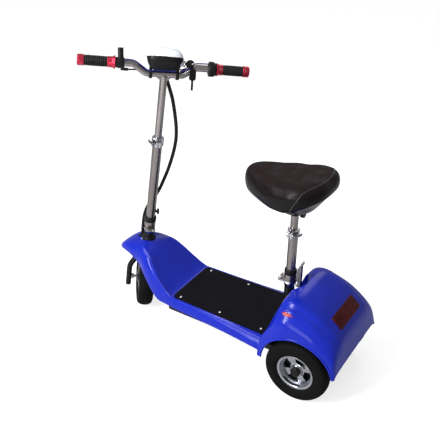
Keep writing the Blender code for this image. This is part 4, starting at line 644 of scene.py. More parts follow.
class Effects:
    """The node groups that several materials share.

    Each static method wires one group, and gives the sockets that it puts out
    by name. KINDS lists the groups with their inputs' usual values.
    """

    @staticmethod
    def grain(web: Wiring, source: Mapping[str, Socket]) -> dict[str, Socket]:
        """Fine even grain, as moulded plastic, paint or cast metal has it."""
        return {"Height": web.noise(web.place(), source["Scale"], source["Detail"])}

    @staticmethod
    def pebble(web: Wiring, source: Mapping[str, Socket]) -> dict[str, Socket]:
        """Rounded cells with creases between them, as grained vinyl and rubber.

        Args:
            web: The group's wiring.
            source: The group's inputs by name.

        Returns:
            The group's outputs.
        """
        scale, softness = source["Scale"], source["Softness"]
        inputs = {"Vector": web.place(), "Scale": scale, "Smoothness": softness}
        cells = web.add("TexVoronoi", inputs, feature="SMOOTH_F1")
        return {"Height": web.math("SUBTRACT", 1.0, cells.outputs["Distance"])}

    @staticmethod
    def mottle(web: Wiring, source: Mapping[str, Socket]) -> dict[str, Socket]:
        """Broad soft patches, for slight changes of tone and gloss."""
        centred = web.math("SUBTRACT", web.noise(web.place(), source["Scale"], 3.0), 0.5)
        return {"Mask": web.math("MULTIPLY_ADD", centred, source["Contrast"], 0.5, clamp=True)}

    @staticmethod
    def scuff(web: Wiring, source: Mapping[str, Socket]) -> dict[str, Socket]:
        """Thin scattered scratches, for rubbed metal and plastic.

        Args:
            web: The group's wiring.
            source: The group's inputs by name.

        Returns:
            The group's outputs.
        """
        where = web.stretched(scale=(1.0, 7.0, 2.0), turn=(0.4, 0.2, 0.7))
        lines = web.noise(where, source["Scale"], detail=4.0, distortion=0.4)
        depth = web.math("MULTIPLY", web.spread(lines, low=0.60, high=0.72), source["Amount"])
        return {"Mask": depth, "Height": depth}

    @staticmethod
    def dust_and_reflection(web: Wiring, source: Mapping[str, Socket]) -> dict[str, Socket]:
        """A film on what faces upwards: real dust on most finishes, and a painted brown reflection on the
        saddle vinyl's top.

        Args:
            web: The group's wiring.
            source: The group's inputs by name.

        Returns:
            The group's outputs.
        """
        facing = web.add("NewGeometry").outputs["Normal"]
        upward = web.spread(web.add("SeparateXYZ", {"Vector": facing}).outputs["Z"], low=0.3, high=1.0)
        cloud = web.noise(web.place(), source["Scale"], detail=5.0)
        film = web.math("MULTIPLY", upward, cloud)
        return {"Mask": web.math("MULTIPLY", film, source["Amount"])}

    @staticmethod
    def drawn(web: Wiring, source: Mapping[str, Socket]) -> dict[str, Socket]:
        """Fine lines round a tube, as drawing and polishing leave them."""
        where = web.stretched(scale=(0.15, 0.15, 1.0))
        return {"Height": web.noise(where, source["Scale"], detail=3.0)}

    @staticmethod
    def flutes(web: Wiring, source: Mapping[str, Socket]) -> dict[str, Socket]:
        """The upright flutes inside a lamp's lens."""
        inputs = {"Vector": web.place(), "Scale": source["Scale"]}
        return {"Height": web.add("TexWave", inputs, bands_direction="X").outputs["Fac"]}

    KINDS = {
        "Surface Grain": (grain, {"Scale": 900.0, "Detail": 2.0}),
        "Pebble Grain": (pebble, {"Scale": 700.0, "Softness": 0.7}),
        "Soft Mottle": (mottle, {"Scale": 14.0, "Contrast": 1.6}),
        "Light Scuffs": (scuff, {"Scale": 55.0, "Amount": 0.3}),
        "Dust and Reflection Film": (dust_and_reflection, {"Amount": 0.1, "Scale": 26.0}),
        "Drawn Lines": (drawn, {"Scale": 900.0}),
        "Lamp Flutes": (flutes, {"Scale": 120.0}),
    }

    @classmethod
    def tree(cls, name: str) -> Tree:
        """An effect's node group, built when it is first asked for.

        Args:
            name: The effect's name.

        Returns:
            The group's tree.
        """
        found = bpy.data.node_groups.get(name)
        if found:
            return found
        wire, inputs = cls.KINDS[name]
        tree = bpy.data.node_groups.new(name, "ShaderNodeTree")
        for label, value in inputs.items():
            socket = tree.interface.new_socket(label, in_out="INPUT", socket_type="NodeSocketFloat")
            socket.default_value = value
        outputs = wire(Wiring(tree), tree.nodes.new("NodeGroupInput").outputs)
        for label in outputs:
            tree.interface.new_socket(label, in_out="OUTPUT", socket_type="NodeSocketFloat")
        sink = tree.nodes.new("NodeGroupOutput")
        for label, value in outputs.items():
            tree.links.new(value, sink.inputs[label])
        return tree


class Relief(Enum):
    """The small reliefs of a surface, by the names of their effects."""

    GRAIN = "Surface Grain"
    PEBBLE = "Pebble Grain"
    BRUSHED = "Drawn Lines"
    FLUTES = "Lamp Flutes"


@dataclass(frozen=True)
class Finish:
    """One finish: two tones, their gloss and a small relief."""

    name: str
    slot: str
    tone: Colour
    second: Colour
    rough: float
    rough_spread: float = 0.06
    metal: float = 0.0
    relief: Relief = Relief.GRAIN
    relief_scale: float = 900.0
    relief_depth: float = 0.00005
    mottle_scale: float = 14.0
    scuff: float = 0.10
    # The up-facing film paints real dust on most finishes; on the vinyl it paints the top's brown reflection.
    dust_and_reflection: float = 0.05
    dust_and_reflection_tone: Colour = (0.30, 0.29, 0.27)
    specular: float = 0.5
    scuff_rough: float = 0.25
    dust_and_reflection_rough: float = 0.8

    def build(self) -> bpy.types.Material:
        """Make the material, or give back the one made before.

        Returns:
            The material.
        """
        found = bpy.data.materials.get(self.name)
        if found:
            return found
        material = bpy.data.materials.new(self.name)
        material.use_nodes = True
        web = Wiring(material.node_tree)
        mottle = web.effect("Soft Mottle", Scale=self.mottle_scale)
        scuffs = web.effect("Light Scuffs", Amount=self.scuff)
        # Up-facing film: real dust, and on the vinyl a painted reflection that tints the top brown.
        dust_and_reflection = web.effect("Dust and Reflection Film", Amount=self.dust_and_reflection)
        masks = [effect.outputs["Mask"] for effect in (mottle, scuffs, dust_and_reflection)]
        rubbed = tuple(min(1.0, value * 1.5 + 0.02) for value in self.tone)
        colour = web.mix(masks[0], self.tone, self.second)
        colour = web.mix(masks[1], colour, rubbed)
        colour = web.mix(masks[2], colour, self.dust_and_reflection_tone)
        rough: Feed = self.rough - self.rough_spread / 2
        for mask, weight in zip(masks, (self.rough_spread, self.scuff_rough, self.dust_and_reflection_rough)):
            rough = web.math("MULTIPLY_ADD", mask, weight, rough, clamp=True)
        normal = self.bumps(web, scuffs.outputs["Height"])
        uniform = {"Metallic": self.metal, "Specular IOR Level": self.specular}
        varied = {"Base Color": colour, "Roughness": rough, "Normal": normal}
        web.feed(web.tree.nodes["Principled BSDF"], uniform | varied)
        return material

    def bumps(self, web: Wiring, scratches: Socket) -> Socket:
        """The bent normal of the finish's relief and its scratches.

        Args:
            web: The material's wiring.
            scratches: The height of its scratches.

        Returns:
            The normal.
        """
        relief = web.effect(self.relief.value, Scale=self.relief_scale).outputs["Height"]
        raised = web.add("Bump", {"Strength": 1.0, "Distance": self.relief_depth, "Height": relief})
        worn = {"Strength": 0.5, "Distance": 0.00003, "Height": scratches, "Normal": raised.outputs["Normal"]}
        return web.add("Bump", worn, invert=True).outputs["Normal"]


class Finishes:
    """Every finish on the vehicle."""

    BLUE = Finish(
        "blue moulded plastic", "blue_plastic", (0.0050, 0.0150, 0.340), (0.0068, 0.0195, 0.400), 0.19, 0.05,
        relief_scale=260.0, relief_depth=0.00004, scuff=0.03, dust_and_reflection=0.01, specular=0.22,
    )
    BLACK_PLASTIC = Finish(
        "black moulded plastic", "black_plastic", (0.0050, 0.0050, 0.0056), (0.0080, 0.0080, 0.0086), 0.36,
        relief_scale=1500.0, relief_depth=0.00006, specular=0.16, scuff=0.06, dust_and_reflection=0.02,
    )
    BLACK_PAINT = Finish(
        "black enamel", "black_paint", (0.0045, 0.0045, 0.0050), (0.0070, 0.0070, 0.0075), 0.24, 0.08,
        relief_scale=500.0, relief_depth=0.00004, specular=0.20, scuff=0.06, dust_and_reflection=0.02,
    )
    TYRE = Finish(
        "tyre rubber", "tyre_rubber", (0.0035, 0.0035, 0.0038), (0.0065, 0.0065, 0.0068), 0.66, 0.12,
        relief_scale=1400.0, relief_depth=0.00012, dust_and_reflection=0.03, dust_and_reflection_tone=(0.10, 0.095, 0.09), specular=0.05,
    )
    MAT = Finish(
        "deck mat rubber", "mat_rubber", (0.0045, 0.0043, 0.0060), (0.0075, 0.0072, 0.0095), 0.58, 0.10,
        relief=Relief.PEBBLE, relief_scale=520.0, relief_depth=0.00025, dust_and_reflection=0.02,
        dust_and_reflection_tone=(0.10, 0.10, 0.11), specular=0.02,
    )
    # The vinyl's strong up-facing film tints its top brown: a painted reflection, not dust.
    VINYL = Finish(
        "saddle vinyl", "vinyl", (0.0036, 0.0028, 0.0034), (0.0044, 0.0034, 0.0041), 0.26, 0.015,
        relief=Relief.PEBBLE, relief_scale=950.0, relief_depth=0.00006, scuff=0.0, dust_and_reflection=0.95,
        dust_and_reflection_tone=(0.017, 0.0050, 0.0058), specular=0.14,
    )
    PIPING = Finish(
        "saddle piping", "vinyl", (0.030, 0.030, 0.036), (0.045, 0.045, 0.052), 0.36,
        relief_scale=1500.0, relief_depth=0.00004, specular=0.3,
    )
    THREAD = Finish(
        "black sewing thread", "vinyl", (0.012, 0.012, 0.013), (0.020, 0.020, 0.021), 0.7,
        relief=Relief.PEBBLE, relief_scale=2500.0, relief_depth=0.0001, specular=0.2,
    )
    CHROME = Finish(
        "chrome plate", "chrome", (0.46, 0.46, 0.50), (0.58, 0.58, 0.62), 0.15, 0.08, 1.0,
        relief_scale=300.0, relief_depth=0.00006, scuff=0.15, dust_and_reflection=0.02,
    )
    DARK_CHROME = Finish(
        "smoked steel", "steel", (0.165, 0.158, 0.178), (0.235, 0.225, 0.250), 0.22, 0.08, 1.0,
        relief_scale=300.0, relief_depth=0.00005, scuff=0.15, dust_and_reflection=0.02,
    )
    SATIN = Finish(
        "satin plated tube", "satin_tube", (0.220, 0.200, 0.195), (0.300, 0.280, 0.272), 0.25, 0.08, 1.0,
        relief=Relief.BRUSHED, relief_scale=900.0, relief_depth=0.00004, scuff=0.18, dust_and_reflection=0.02,
    )
    BAR = Finish(
        "bright plated bar", "satin_tube", (0.28, 0.26, 0.254), (0.38, 0.355, 0.345), 0.22, 0.08, 1.0,
        relief=Relief.BRUSHED, relief_scale=900.0, relief_depth=0.00004, scuff=0.18, dust_and_reflection=0.02,
    )
    RIM = Finish(
        "satin wheel rim", "chrome", (0.35, 0.36, 0.395), (0.47, 0.48, 0.515), 0.22, 0.08, 1.0,
        relief_scale=600.0, relief_depth=0.00004, scuff=0.14, dust_and_reflection=0.02,
    )
    STEEL = Finish(
        "plain steel", "steel", (0.29, 0.29, 0.30), (0.38, 0.38, 0.39), 0.32, 0.12, 1.0,
        relief_scale=900.0, relief_depth=0.00004, scuff=0.2,
    )
    SCREW = Finish(
        "zinc screw", "steel", (0.78, 0.78, 0.78), (0.88, 0.88, 0.88), 0.30, 0.10, 0.6,
        relief_scale=900.0, relief_depth=0.00003,
    )
    WHITE = Finish(
        "white moulded plastic", "white_plastic", (0.78, 0.82, 0.88), (0.82, 0.86, 0.92), 0.26, 0.05,
        relief_scale=500.0, relief_depth=0.00003, scuff=0.05, dust_and_reflection=0.02, specular=0.3,
    )
    RED_LENS = Finish(
        "dark red lens", "red_lens", (0.030, 0.0035, 0.0050), (0.095, 0.012, 0.011), 0.16, 0.04,
        relief=Relief.FLUTES, relief_scale=42.0, relief_depth=0.0006, mottle_scale=26.0,
        scuff=0.04, dust_and_reflection=0.0, specular=0.06,
    )
    MARKER = Finish(
        "red marker lens", "red_lens", (0.27, 0.014, 0.022), (0.50, 0.070, 0.080), 0.14, 0.04,
        relief=Relief.FLUTES, relief_scale=160.0, relief_depth=0.0005, mottle_scale=60.0,
        scuff=0.04, dust_and_reflection=0.02, specular=0.4,
    )
    CLEAR = Finish(
        "lamp lens", "clear_lens", (0.60, 0.62, 0.64), (0.70, 0.72, 0.74), 0.08, 0.03,
        relief=Relief.FLUTES, relief_scale=120.0, relief_depth=0.0004, scuff=0.03, specular=0.5,
    )
    RUBBER = Finish(
        "grip rubber", "grip_rubber", (0.0055, 0.0055, 0.0065), (0.0095, 0.0095, 0.0105), 0.52, 0.10,
        relief=Relief.PEBBLE, relief_scale=1600.0, relief_depth=0.00010, specular=0.12, dust_and_reflection=0.02,
    )
    RED_METAL = Finish(
        "red anodised metal", "grip_rubber", (0.420, 0.016, 0.042), (0.540, 0.040, 0.075), 0.24, 0.08, 0.8,
        relief_scale=1200.0, relief_depth=0.00003, scuff=0.08, dust_and_reflection=0.02,
    )
    CABLE = Finish(
        "black cable sheath", "cable_black", (0.0055, 0.0055, 0.0070), (0.0090, 0.0090, 0.0110), 0.40, 0.10,
        relief_scale=1500.0, relief_depth=0.00006, specular=0.2, dust_and_reflection=0.02,
    )
    WIRE = Finish(
        "dark blue wire", "wire_blue", (0.012, 0.012, 0.110), (0.020, 0.022, 0.170), 0.36, 0.08,
        relief_scale=1500.0, relief_depth=0.00004, specular=0.2, dust_and_reflection=0.02,
    )
    BATTERY = Finish(
        "battery case plastic", "battery_case", (0.030, 0.030, 0.034), (0.045, 0.045, 0.050), 0.50, 0.08,
        relief=Relief.PEBBLE, relief_scale=1100.0, relief_depth=0.00008, specular=0.2,
    )


class Workshop:
    """Keeps the loaded frame, and dresses and mounts pieces on it."""

    def __init__(self, frame: dict) -> None:
        """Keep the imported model."""
        self.frame = frame

    def dress(self, node: str, finish: Finish, bevel: float = 0.0004, angle: float = 38.0) -> None:
        """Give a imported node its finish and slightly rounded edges.

        Args:
            node: The node's name.
            finish: Its finish.
            bevel: The width of its rounded edges, in metres.
            angle: The least angle of an edge that is rounded.
        """
        thing = self.frame["nodes"][node]
        thing.data.materials.clear()
        thing.data.materials.append(finish.build())
        weld = thing.modifiers.new("weld", "WELD")
        weld.merge_threshold = 0.00002
        rounded(thing, bevel, 2, angle)
        LOG.info("node %s: %s", node, finish.name)

    def dress_all(self, finish: Finish, bevel: float, *nodes: str) -> None:
        """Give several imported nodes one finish."""
        for node in nodes:
            self.dress(node, finish, bevel)

    def mount(
        self,
        piece: Piece,
        finish: Finish,
        body: str,
        replaces: Iterable[str] = (),
        sharp: float | None = 40.0,
    ) -> Piece:
        """Finish a new piece and let it ride on a body.

        Args:
            piece: The piece, in its place.
            finish: Its finish.
            body: The body that it moves with.
            replaces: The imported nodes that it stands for.
            sharp: The angle over which edges stay sharp, or None where the
                piece has its own shading.

        Returns:
            The piece.
        """
        piece.data.materials.clear()
        piece.data.materials.append(finish.build())
        if sharp is not None:
            smooth(piece, sharp)
        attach(piece, body)
        names = list(replaces)
        if names:
            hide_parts(*names)
        LOG.info("piece %s on %s: %s", piece.name, body, finish.name)
        return piece

    def surface(self, *pieces: Piece) -> BVHTree:
        """A search tree over the faces of some pieces.

        Args:
            pieces: The pieces.

        Returns:
            The tree.
        """
        points: list[Vector] = []
        faces: list[list[int]] = []
        for piece in pieces:
            start = len(points)
            points += [vertex.co.copy() for vertex in piece.data.vertices]
            faces += [[start + number for number in polygon.vertices] for polygon in piece.data.polygons]
        return BVHTree.FromPolygons(points, faces)


# Body panels


@dataclass
class FrontMoulding:
    """The blue nose, ramp and deck tray in one shell."""

    shop: Workshop
    wall: float = 0.003
    lift: float = 0.0032
    skirt: float = 0.130
    tyre_top: float = 0.225
    top: float = 0.30152
    nose: float = -0.478
    ramp_foot: float = -0.1746
    deck_end: float = 0.215
    hole: float = 0.0275
    post_hole: float = 0.0181
    loom_hole: float = 0.0115

    def rows(self) -> list[list[float]]:
        """The shell's cross sections, from the nose to the deck's end.

        Returns:
            For each section its place along the vehicle, its middle's height, the
            distances of the ridge and the edge from the middle, the edge's height
            and the ridge's lift.
        """
        rise = self.top - PLACES.deck
        nose, tyre, top, deck = self.nose, self.tyre_top, self.top, PLACES.deck
        return [
            [nose, tyre + 0.0195, 0.012, 0.018, tyre + 0.0155, -0.0005],
            [nose + 0.006, tyre + 0.0270, 0.024, 0.030, tyre + 0.0165, -0.002],
            [nose + 0.020, top - 0.0355, 0.036, 0.043, tyre + 0.0190, -0.004],
            [nose + 0.042, top - 0.0185, 0.047, 0.054, tyre + 0.0225, -0.006],
            [nose + 0.073, top - 0.0060, 0.055, 0.063, tyre + 0.0205, -0.008],
            [nose + 0.108, top - 0.0005, 0.058, 0.070, tyre + 0.0070, -0.0095],
            [nose + 0.133, top, 0.060, 0.081, tyre - 0.0020, -0.008],
            [nose + 0.158, top - rise * 0.095, 0.069, 0.095, tyre - 0.0150, -0.003],
            [nose + 0.1814, top - rise * 0.224, 0.079, 0.105, tyre - 0.0380, self.lift],
            [nose + 0.2114, top - rise * 0.440, 0.0955, 0.1145, tyre - 0.0665, self.lift],
            [nose + 0.2414, top - rise * 0.664, 0.1075, 0.1200, self.skirt + 0.0050, self.lift],
            [nose + 0.2774, top - rise * 0.888, 0.1175, 0.1225, self.skirt + 0.0010, self.lift],
            [self.ramp_foot, deck, 0.1220, 0.1245, self.skirt, self.lift],
            [self.ramp_foot + 0.040, deck, 0.1235, 0.1290, self.skirt, self.lift],
            [self.deck_end - 0.150, deck, 0.1265, 0.1430, self.skirt, self.lift],
            [self.deck_end, deck, 0.1300, 0.1600, self.skirt, self.lift],
        ]

    @staticmethod
    def section(row: Sequence[float]) -> list[Point]:
        """One cross section, from its left edge to its right.

        Args:
            row: One of the rows above.

        Returns:
            The section's points.
        """
        y, top, ridge, edge, edge_z, lift = row
        ridge_z = top + lift
        drop = ridge_z - edge_z
        spread = edge - ridge
        crown = min(lift, 0.0)
        foot = lift * 0.15 if lift > 0 else lift * 0.72
        half = [
            (0.0, top),
            (ridge * 0.62, top + crown * 0.28),
            (max(ridge * 0.88, ridge - 0.006), top + foot),
            (max(ridge * 0.975, ridge - 0.002), ridge_z),
            (ridge + spread * 0.50, ridge_z - drop * 0.17),
            (ridge + spread * 0.86 + 0.002, edge_z + drop * 0.45),
            (edge, edge_z),
        ]
        return [(x, y, z) for x, z in reversed(half)] + [(-x, y, z) for x, z in half[1:]]

    def build(self) -> None:
        """Loft the shell, thicken it and cut its three holes."""
        rows = self.rows()
        ramp = spline(rows[:13], 5)
        deck = spline(rows[12:], 2)
        rows = ramp[:-1] + deck
        grid = [skin(self.section(row), [3, 4, 8, 9], 4) for row in rows]
        piece = loft("front_moulding", grid, ring=False)
        cap = bmesh.new()
        cap.from_mesh(piece.data)
        cap.verts.ensure_lookup_table()
        cap.faces.new([cap.verts[number] for number in range(len(grid[0]))])
        bmesh.ops.recalc_face_normals(cap, faces=cap.faces)
        cap.to_mesh(piece.data)
        cap.free()
        cut(walled(piece, self.wall), *self.cutters())
        rounded(piece, 0.0006, 2, 40)
        self.shop.mount(piece, Finishes.BLUE, "chassis", ["front_body"], sharp=None)

    def cutters(self) -> list[Piece]:
        """The cutters of the holes for the column, the seat post and the wiring.

        Returns:
            The three cutters, in their places.
        """
        head, deck = PLACES.head_top, PLACES.deck
        column = placed(peg(self.hole, head - 0.06, head + 0.08, 72), PLACES.lean())
        post = placed(peg(self.post_hole, deck - 0.05, deck + 0.05, 64), shifted(y=PLACES.seat_y))
        entry = PLACES.column() @ Vector((0.0225, -0.0280, head + 0.009))
        way = [entry + Vector((-0.002, 0, 0.018)), entry, entry + Vector((0.013, -0.005, -0.014))]
        return [column, post, tube("hole", curve(way, 12), self.loom_hole, 32)]


@dataclass
class RearHood:
    """The blue hood over the battery and the two rear wheels."""

    shop: Workshop
    wall: float = 0.003
    front: float = 0.143
    tail: float = 0.1355
    height: float = 0.2360
    arch: float = 0.127
    arch_in: float = 0.118
    recess: float = 0.049
    recess_growth: float = 0.020
    lip_radius: float = 0.0042
    lamp_back: float = 0.0860
    lamp_tilt: float = -42.0
    lamp_half: Pair = (0.0775, 0.0245)
    lamp_corner: float = 0.006
    marker_half: Pair = (0.020, 0.007)
    gap: float = 0.0003
    across: tuple[float, ...] = (0.0, 0.080, 0.116, 0.131, 0.143, 0.158, 0.172, 0.181, 0.1842, 0.1845)
    down: tuple[float, ...] = (1.0, 0.995, 0.965, 0.900, 0.875, 0.800, 0.690, 0.500, 0.250, 0.0)

    def profile(self) -> list[list[float]]:
        """The hood's middle line, as distance behind the axle and height.

        Returns:
            Pairs of distance and height, from the front edge to the tail.
        """
        top = self.height
        return [
            [-self.front, 0.0630], [-0.130, 0.1020], [-0.117, 0.1400], [-0.099, 0.1960],
            [-0.082, top - 0.0095], [-0.048, top], [-0.010, top - 0.0085], [0.030, top - 0.0245],
            [0.068, top - 0.0490], [0.104, top - 0.0815], [0.124, top - 0.1190], [self.tail, 0.0470],
        ]

    def section(self, along: float, height: float) -> list[Point]:
        """One cross section with its flared wheel covers.

        Args:
            along: The section's distance behind the axle.
            height: Its height over the axle.

        Returns:
            The section's points, from the left edge to the right.
        """
        reach = (along + self.front) / (self.front + self.tail)
        width = 0.930 + 0.070 * min(1.0, reach * 3.4) - 0.075 * (max(0.0, reach - 0.66) / 0.34) ** 1.5
        box = max(0.0, 1.0 - reach / 0.14)
        edge = 0.0060 + 0.0240 * max(0.0, reach - 0.55) / 0.45
        half = []
        for across, down in zip(self.across, self.down):
            share = down + (1.0 - down) * box if down > 0.5 else down
            half.append((across * width, edge + (height - edge) * share))
        _, y, z = PLACES.rear_axle
        left = [(x, y + along, z + up) for x, up in reversed(half)]
        return left + [(-x, y + along, z + up) for x, up in half[1:]]

    def lamp_place(self) -> Matrix:
        """The tail lamp's place on the hood's rear slope.

        Returns:
            The lamp's middle, with Z out of the hood.
        """
        profile = self.profile()
        near, far = next(span for span in zip(profile, profile[1:]) if span[1][0] > self.lamp_back)
        share = (self.lamp_back - near[0]) / (far[0] - near[0])
        up = near[1] + (far[1] - near[1]) * share
        _, y, z = PLACES.rear_axle
        return shifted(y=y + self.lamp_back, z=z + up) @ turned(self.lamp_tilt, "X")

    def lamp(self, name: str, spare: float, crowned: bool = False) -> Piece:
        """The tail lamp's block, with square or with rounded edges.

        Args:
            name: The piece's name.
            spare: The clearance that it is grown by.
            crowned: Whether its outer edges are rounded.

        Returns:
            The block, in its place.
        """
        sections = []
        levels = [(-0.0085 - spare, 0.0), (0.0035 + spare, 0.0)]
        if crowned:
            levels = [(-0.0085, 0.0), (0.0020, 0.0), (0.0032, 0.0006), (0.0035, 0.0020)]
        for height, inset in levels:
            half_x, half_y = (half + spare - inset for half in self.lamp_half)
            section = []
            for quarter, (side_x, side_y) in enumerate(((1, 1), (-1, 1), (-1, -1), (1, -1))):
                x = (half_x - self.lamp_corner) * side_x
                y = (half_y - self.lamp_corner) * side_y
                for step in range(7):
                    angle = math.pi / 2 * (quarter + step / 6)
                    corner = (self.lamp_corner * math.cos(angle), self.lamp_corner * math.sin(angle))
                    section.append((x + corner[0], y + corner[1], height))
            sections.append(section)
        return placed(loft(name, sections), self.lamp_place())

    def marker(self, name: str, sign: int, spare: float, crowned: bool = False) -> Piece:
        """A side marker's teardrop, grown by a clearance.

        Args:
            name: The piece's name.
            sign: 1 for the left side, -1 for the right.
            spare: The clearance that it is grown by.
            crowned: Whether its face is domed.

        Returns:
            The marker, in its place.
        """
        length, height = self.marker_half[0] + spare, self.marker_half[1] + spare
        corners = [
            [-length, 0.0], [-length * 0.80, height * 0.62],
            [-length * 0.35, height], [length * 0.15, height * 0.80],
            [length * 0.65, height * 0.35], [length, 0.0], [length * 0.65, -height * 0.35],
            [length * 0.15, -height * 0.80], [-length * 0.35, -height], [-length * 0.80, -height * 0.62],
        ]
        levels = [(-0.006 - spare, 1.0), (0.003, 1.0)]
        if crowned:
            levels = [(-0.006, 1.0), (0.0008, 1.0), (0.0022, 0.90), (0.0029, 0.70), (0.0031, 0.40)]
        ring = corners if spare else spline([*corners, corners[0]], 4)[:-1]
        sections = [[(x * share, y * share, up) for x, y in ring] for up, share in levels]
        _, y, z = PLACES.rear_axle
        place = shifted(x=sign * 0.1505, y=y - 0.0520, z=z + self.height - 0.0372)
        return placed(loft(name, sections), place @ turned(48.0 * sign, "Y") @ turned(90, "Z"))

    def lip(self, surface: BVHTree, sign: int) -> Piece:
        """The rolled lip round one wheel arch.

        Args:
            surface: The hood's surface.
            sign: 1 for the left side, -1 for the right.

        Returns:
            The lip.
        """
        _, y, z = PLACES.rear_axle
        line = []
        for step in range(61):
            angle = math.radians(4 + 172 * step / 60)
            reach = self.arch + self.lip_radius - 0.0004
            start = Vector((sign * 0.30, y + reach * math.cos(angle), z + reach * math.sin(angle)))
            hit, _, _, _ = surface.ray_cast(start, Vector((-sign, 0, 0)), 0.17)
            if hit:
                line.append(hit - Vector((sign * 0.0012, 0, 0)))
        return tube(f"arch_lip_{'left' if sign > 0 else 'right'}", line, self.lip_radius, 20)

    @staticmethod
    def crease(share: float, _: float) -> float:
        """The crease line's radius, which fades towards both its ends."""
        return 0.0030 * min(1.0, share * 6 + 0.4, (1 - share) * 5 + 0.35)

    def bead(self, grid: Sequence[Sequence[Point]], column: int, side: str) -> Piece:
        """The raised line along the crease of one wheel cover."""
        line = [Vector(row[column]) - Vector((0, 0, 0.0017)) for row in grid[7:-6]]
        return tube(f"hood_crease_{side}", curve(line[::3] + line[-1:], 160), self.crease, 14)

    def scooped(self, way: Vector, height: float, depth: float) -> Vector:
        """A point of the scoop's wall, so far out from its middle in one direction."""
        radius = self.recess + self.recess_growth * (height - PLACES.deck + 0.03) / 0.23 + depth
        return Vector((0, PLACES.seat_y, height)) + way * radius

    def liner(self, surface: BVHTree) -> Piece:
        """The wall of the scoop behind the seat post.

        Args:
            surface: The hood's surface.

        Returns:
            The wall.
        """
        low, high = PLACES.deck + 0.0045, PLACES.deck + 0.2
        columns: list[list[Vector]] = []
        for step in range(73):
            angle = math.radians(-22 + 224 * step / 72)
            way = Vector((math.cos(angle), math.sin(angle), 0))
            start = self.scooped(way, high, 0.0016)
            slant = self.scooped(way, low, 0.0016) - start
            hit, _, _, _ = surface.ray_cast(start, slant.normalized(), slant.length)
            if not hit or hit.z < low + 0.004:
                continue
            top = hit.z + 0.0006
            levels = [low + (top - low) * share / 12 for share in range(13)]
            outer = [self.scooped(way, level, 0.0022) for level in levels]
            columns.append(outer + [self.scooped(way, level, 0.0004) for level in reversed(levels)])
        return loft("hood_scoop_wall", columns)

    def build(self) -> None:
        """Loft the hood, cut its openings and add its lips and lamps."""
        grid = [skin(self.section(*row), [6, 12], 5) for row in spline(self.profile(), 5)]
        piece = walled(loft("rear_hood_shell", grid, ring=False), self.wall)
        _, y, z = PLACES.rear_axle
        tools = []
        for sign in (-1, 1):
            tool = peg(self.arch, 0, 0.14, 128)
            tools.append(placed(tool, shifted(sign * self.arch_in, y, z) @ turned(90 * sign, "Y")))
            tools.append(self.marker("pocket", sign, self.gap))
        upper = self.recess + self.recess_growth
        scoop = peg(self.recess, PLACES.deck - 0.03, PLACES.deck + 0.2, 96, upper)
        tools.append(placed(scoop, shifted(y=PLACES.seat_y)))
        tools.append(self.lamp("pocket", self.gap))
        surface = self.shop.surface(piece)
        lips = [self.lip(surface, sign) for sign in (-1, 1)]
        lips += [self.bead(grid, 30, "left"), self.bead(grid, len(grid[0]) - 31, "right")]
        lips.append(self.liner(surface))
        cut(piece, *tools)
        rounded(piece, 0.0006, 2, 40)
        self.shop.mount(piece, Finishes.BLUE, "chassis", ["rear_hood"], sharp=None)
        for lip in lips:
            self.shop.mount(lip, Finishes.BLUE, "chassis", sharp=60)
        lens = self.lamp("tail_lamp", 0.0, crowned=True)
        self.shop.mount(lens, Finishes.RED_LENS, "chassis", ["tail_lamp_lens"], sharp=50)
        for sign, side in ((1, "left"), (-1, "right")):
            glass = self.marker(f"marker_{side}", sign, 0.0, crowned=True)
            self.shop.mount(glass, Finishes.MARKER, "chassis", [f"side_marker_{side}"], sharp=50)


@dataclass
class DeckTop:
    """The mat with its six screws."""

    shop: Workshop
    top: float = 0.1713
    head: float = 0.0040
    across: float = 0.101
    rows: tuple[float, ...] = (-0.143, 0.0225, 0.188)

    def screw(self, name: str) -> Piece:
        """A round-headed screw with a cross recess.

        Args:
            name: The piece's name.

        Returns:
            The screw about the origin.
        """
        outline = [(0, -0.002), (self.head * 0.55, -0.002), (self.head * 0.55, 0), (self.head, 0.0)]
        for step in range(1, 9):
            angle = math.pi / 2 * step / 8
            outline.append((self.head * math.cos(angle), 0.0020 * math.sin(angle)))
        piece = revolve(name, outline[:-1] + [(0, 0.0020)], 32)
        bars = []
        slot = ((0.0020, 0.0004), (-0.0020, 0.0004), (-0.0020, -0.0004), (0.0020, -0.0004))
        for turn in (0, 90):
            bar = loft("slot", [[(x, y, z) for x, y in slot] for z in (0.0008, 0.004)])
            bars.append(placed(bar, turned(turn + 20, "Z")))
        return cut(piece, *bars)

    def build(self) -> None:
        """Dress the mat and set its screws."""
        self.shop.dress("deck_mat", Finishes.MAT, 0.0009)
        spots = [(y, sign * self.across) for y in self.rows for sign in (1, -1)]
        for number, (y, x) in enumerate(spots, 1):
            place = shifted(x, y, self.top) @ turned(37 * number, "Z")
            piece = placed(self.screw(f"mat_screw_{number}"), place)
            self.shop.mount(piece, Finishes.SCREW, "chassis", sharp=30)


# Wheels


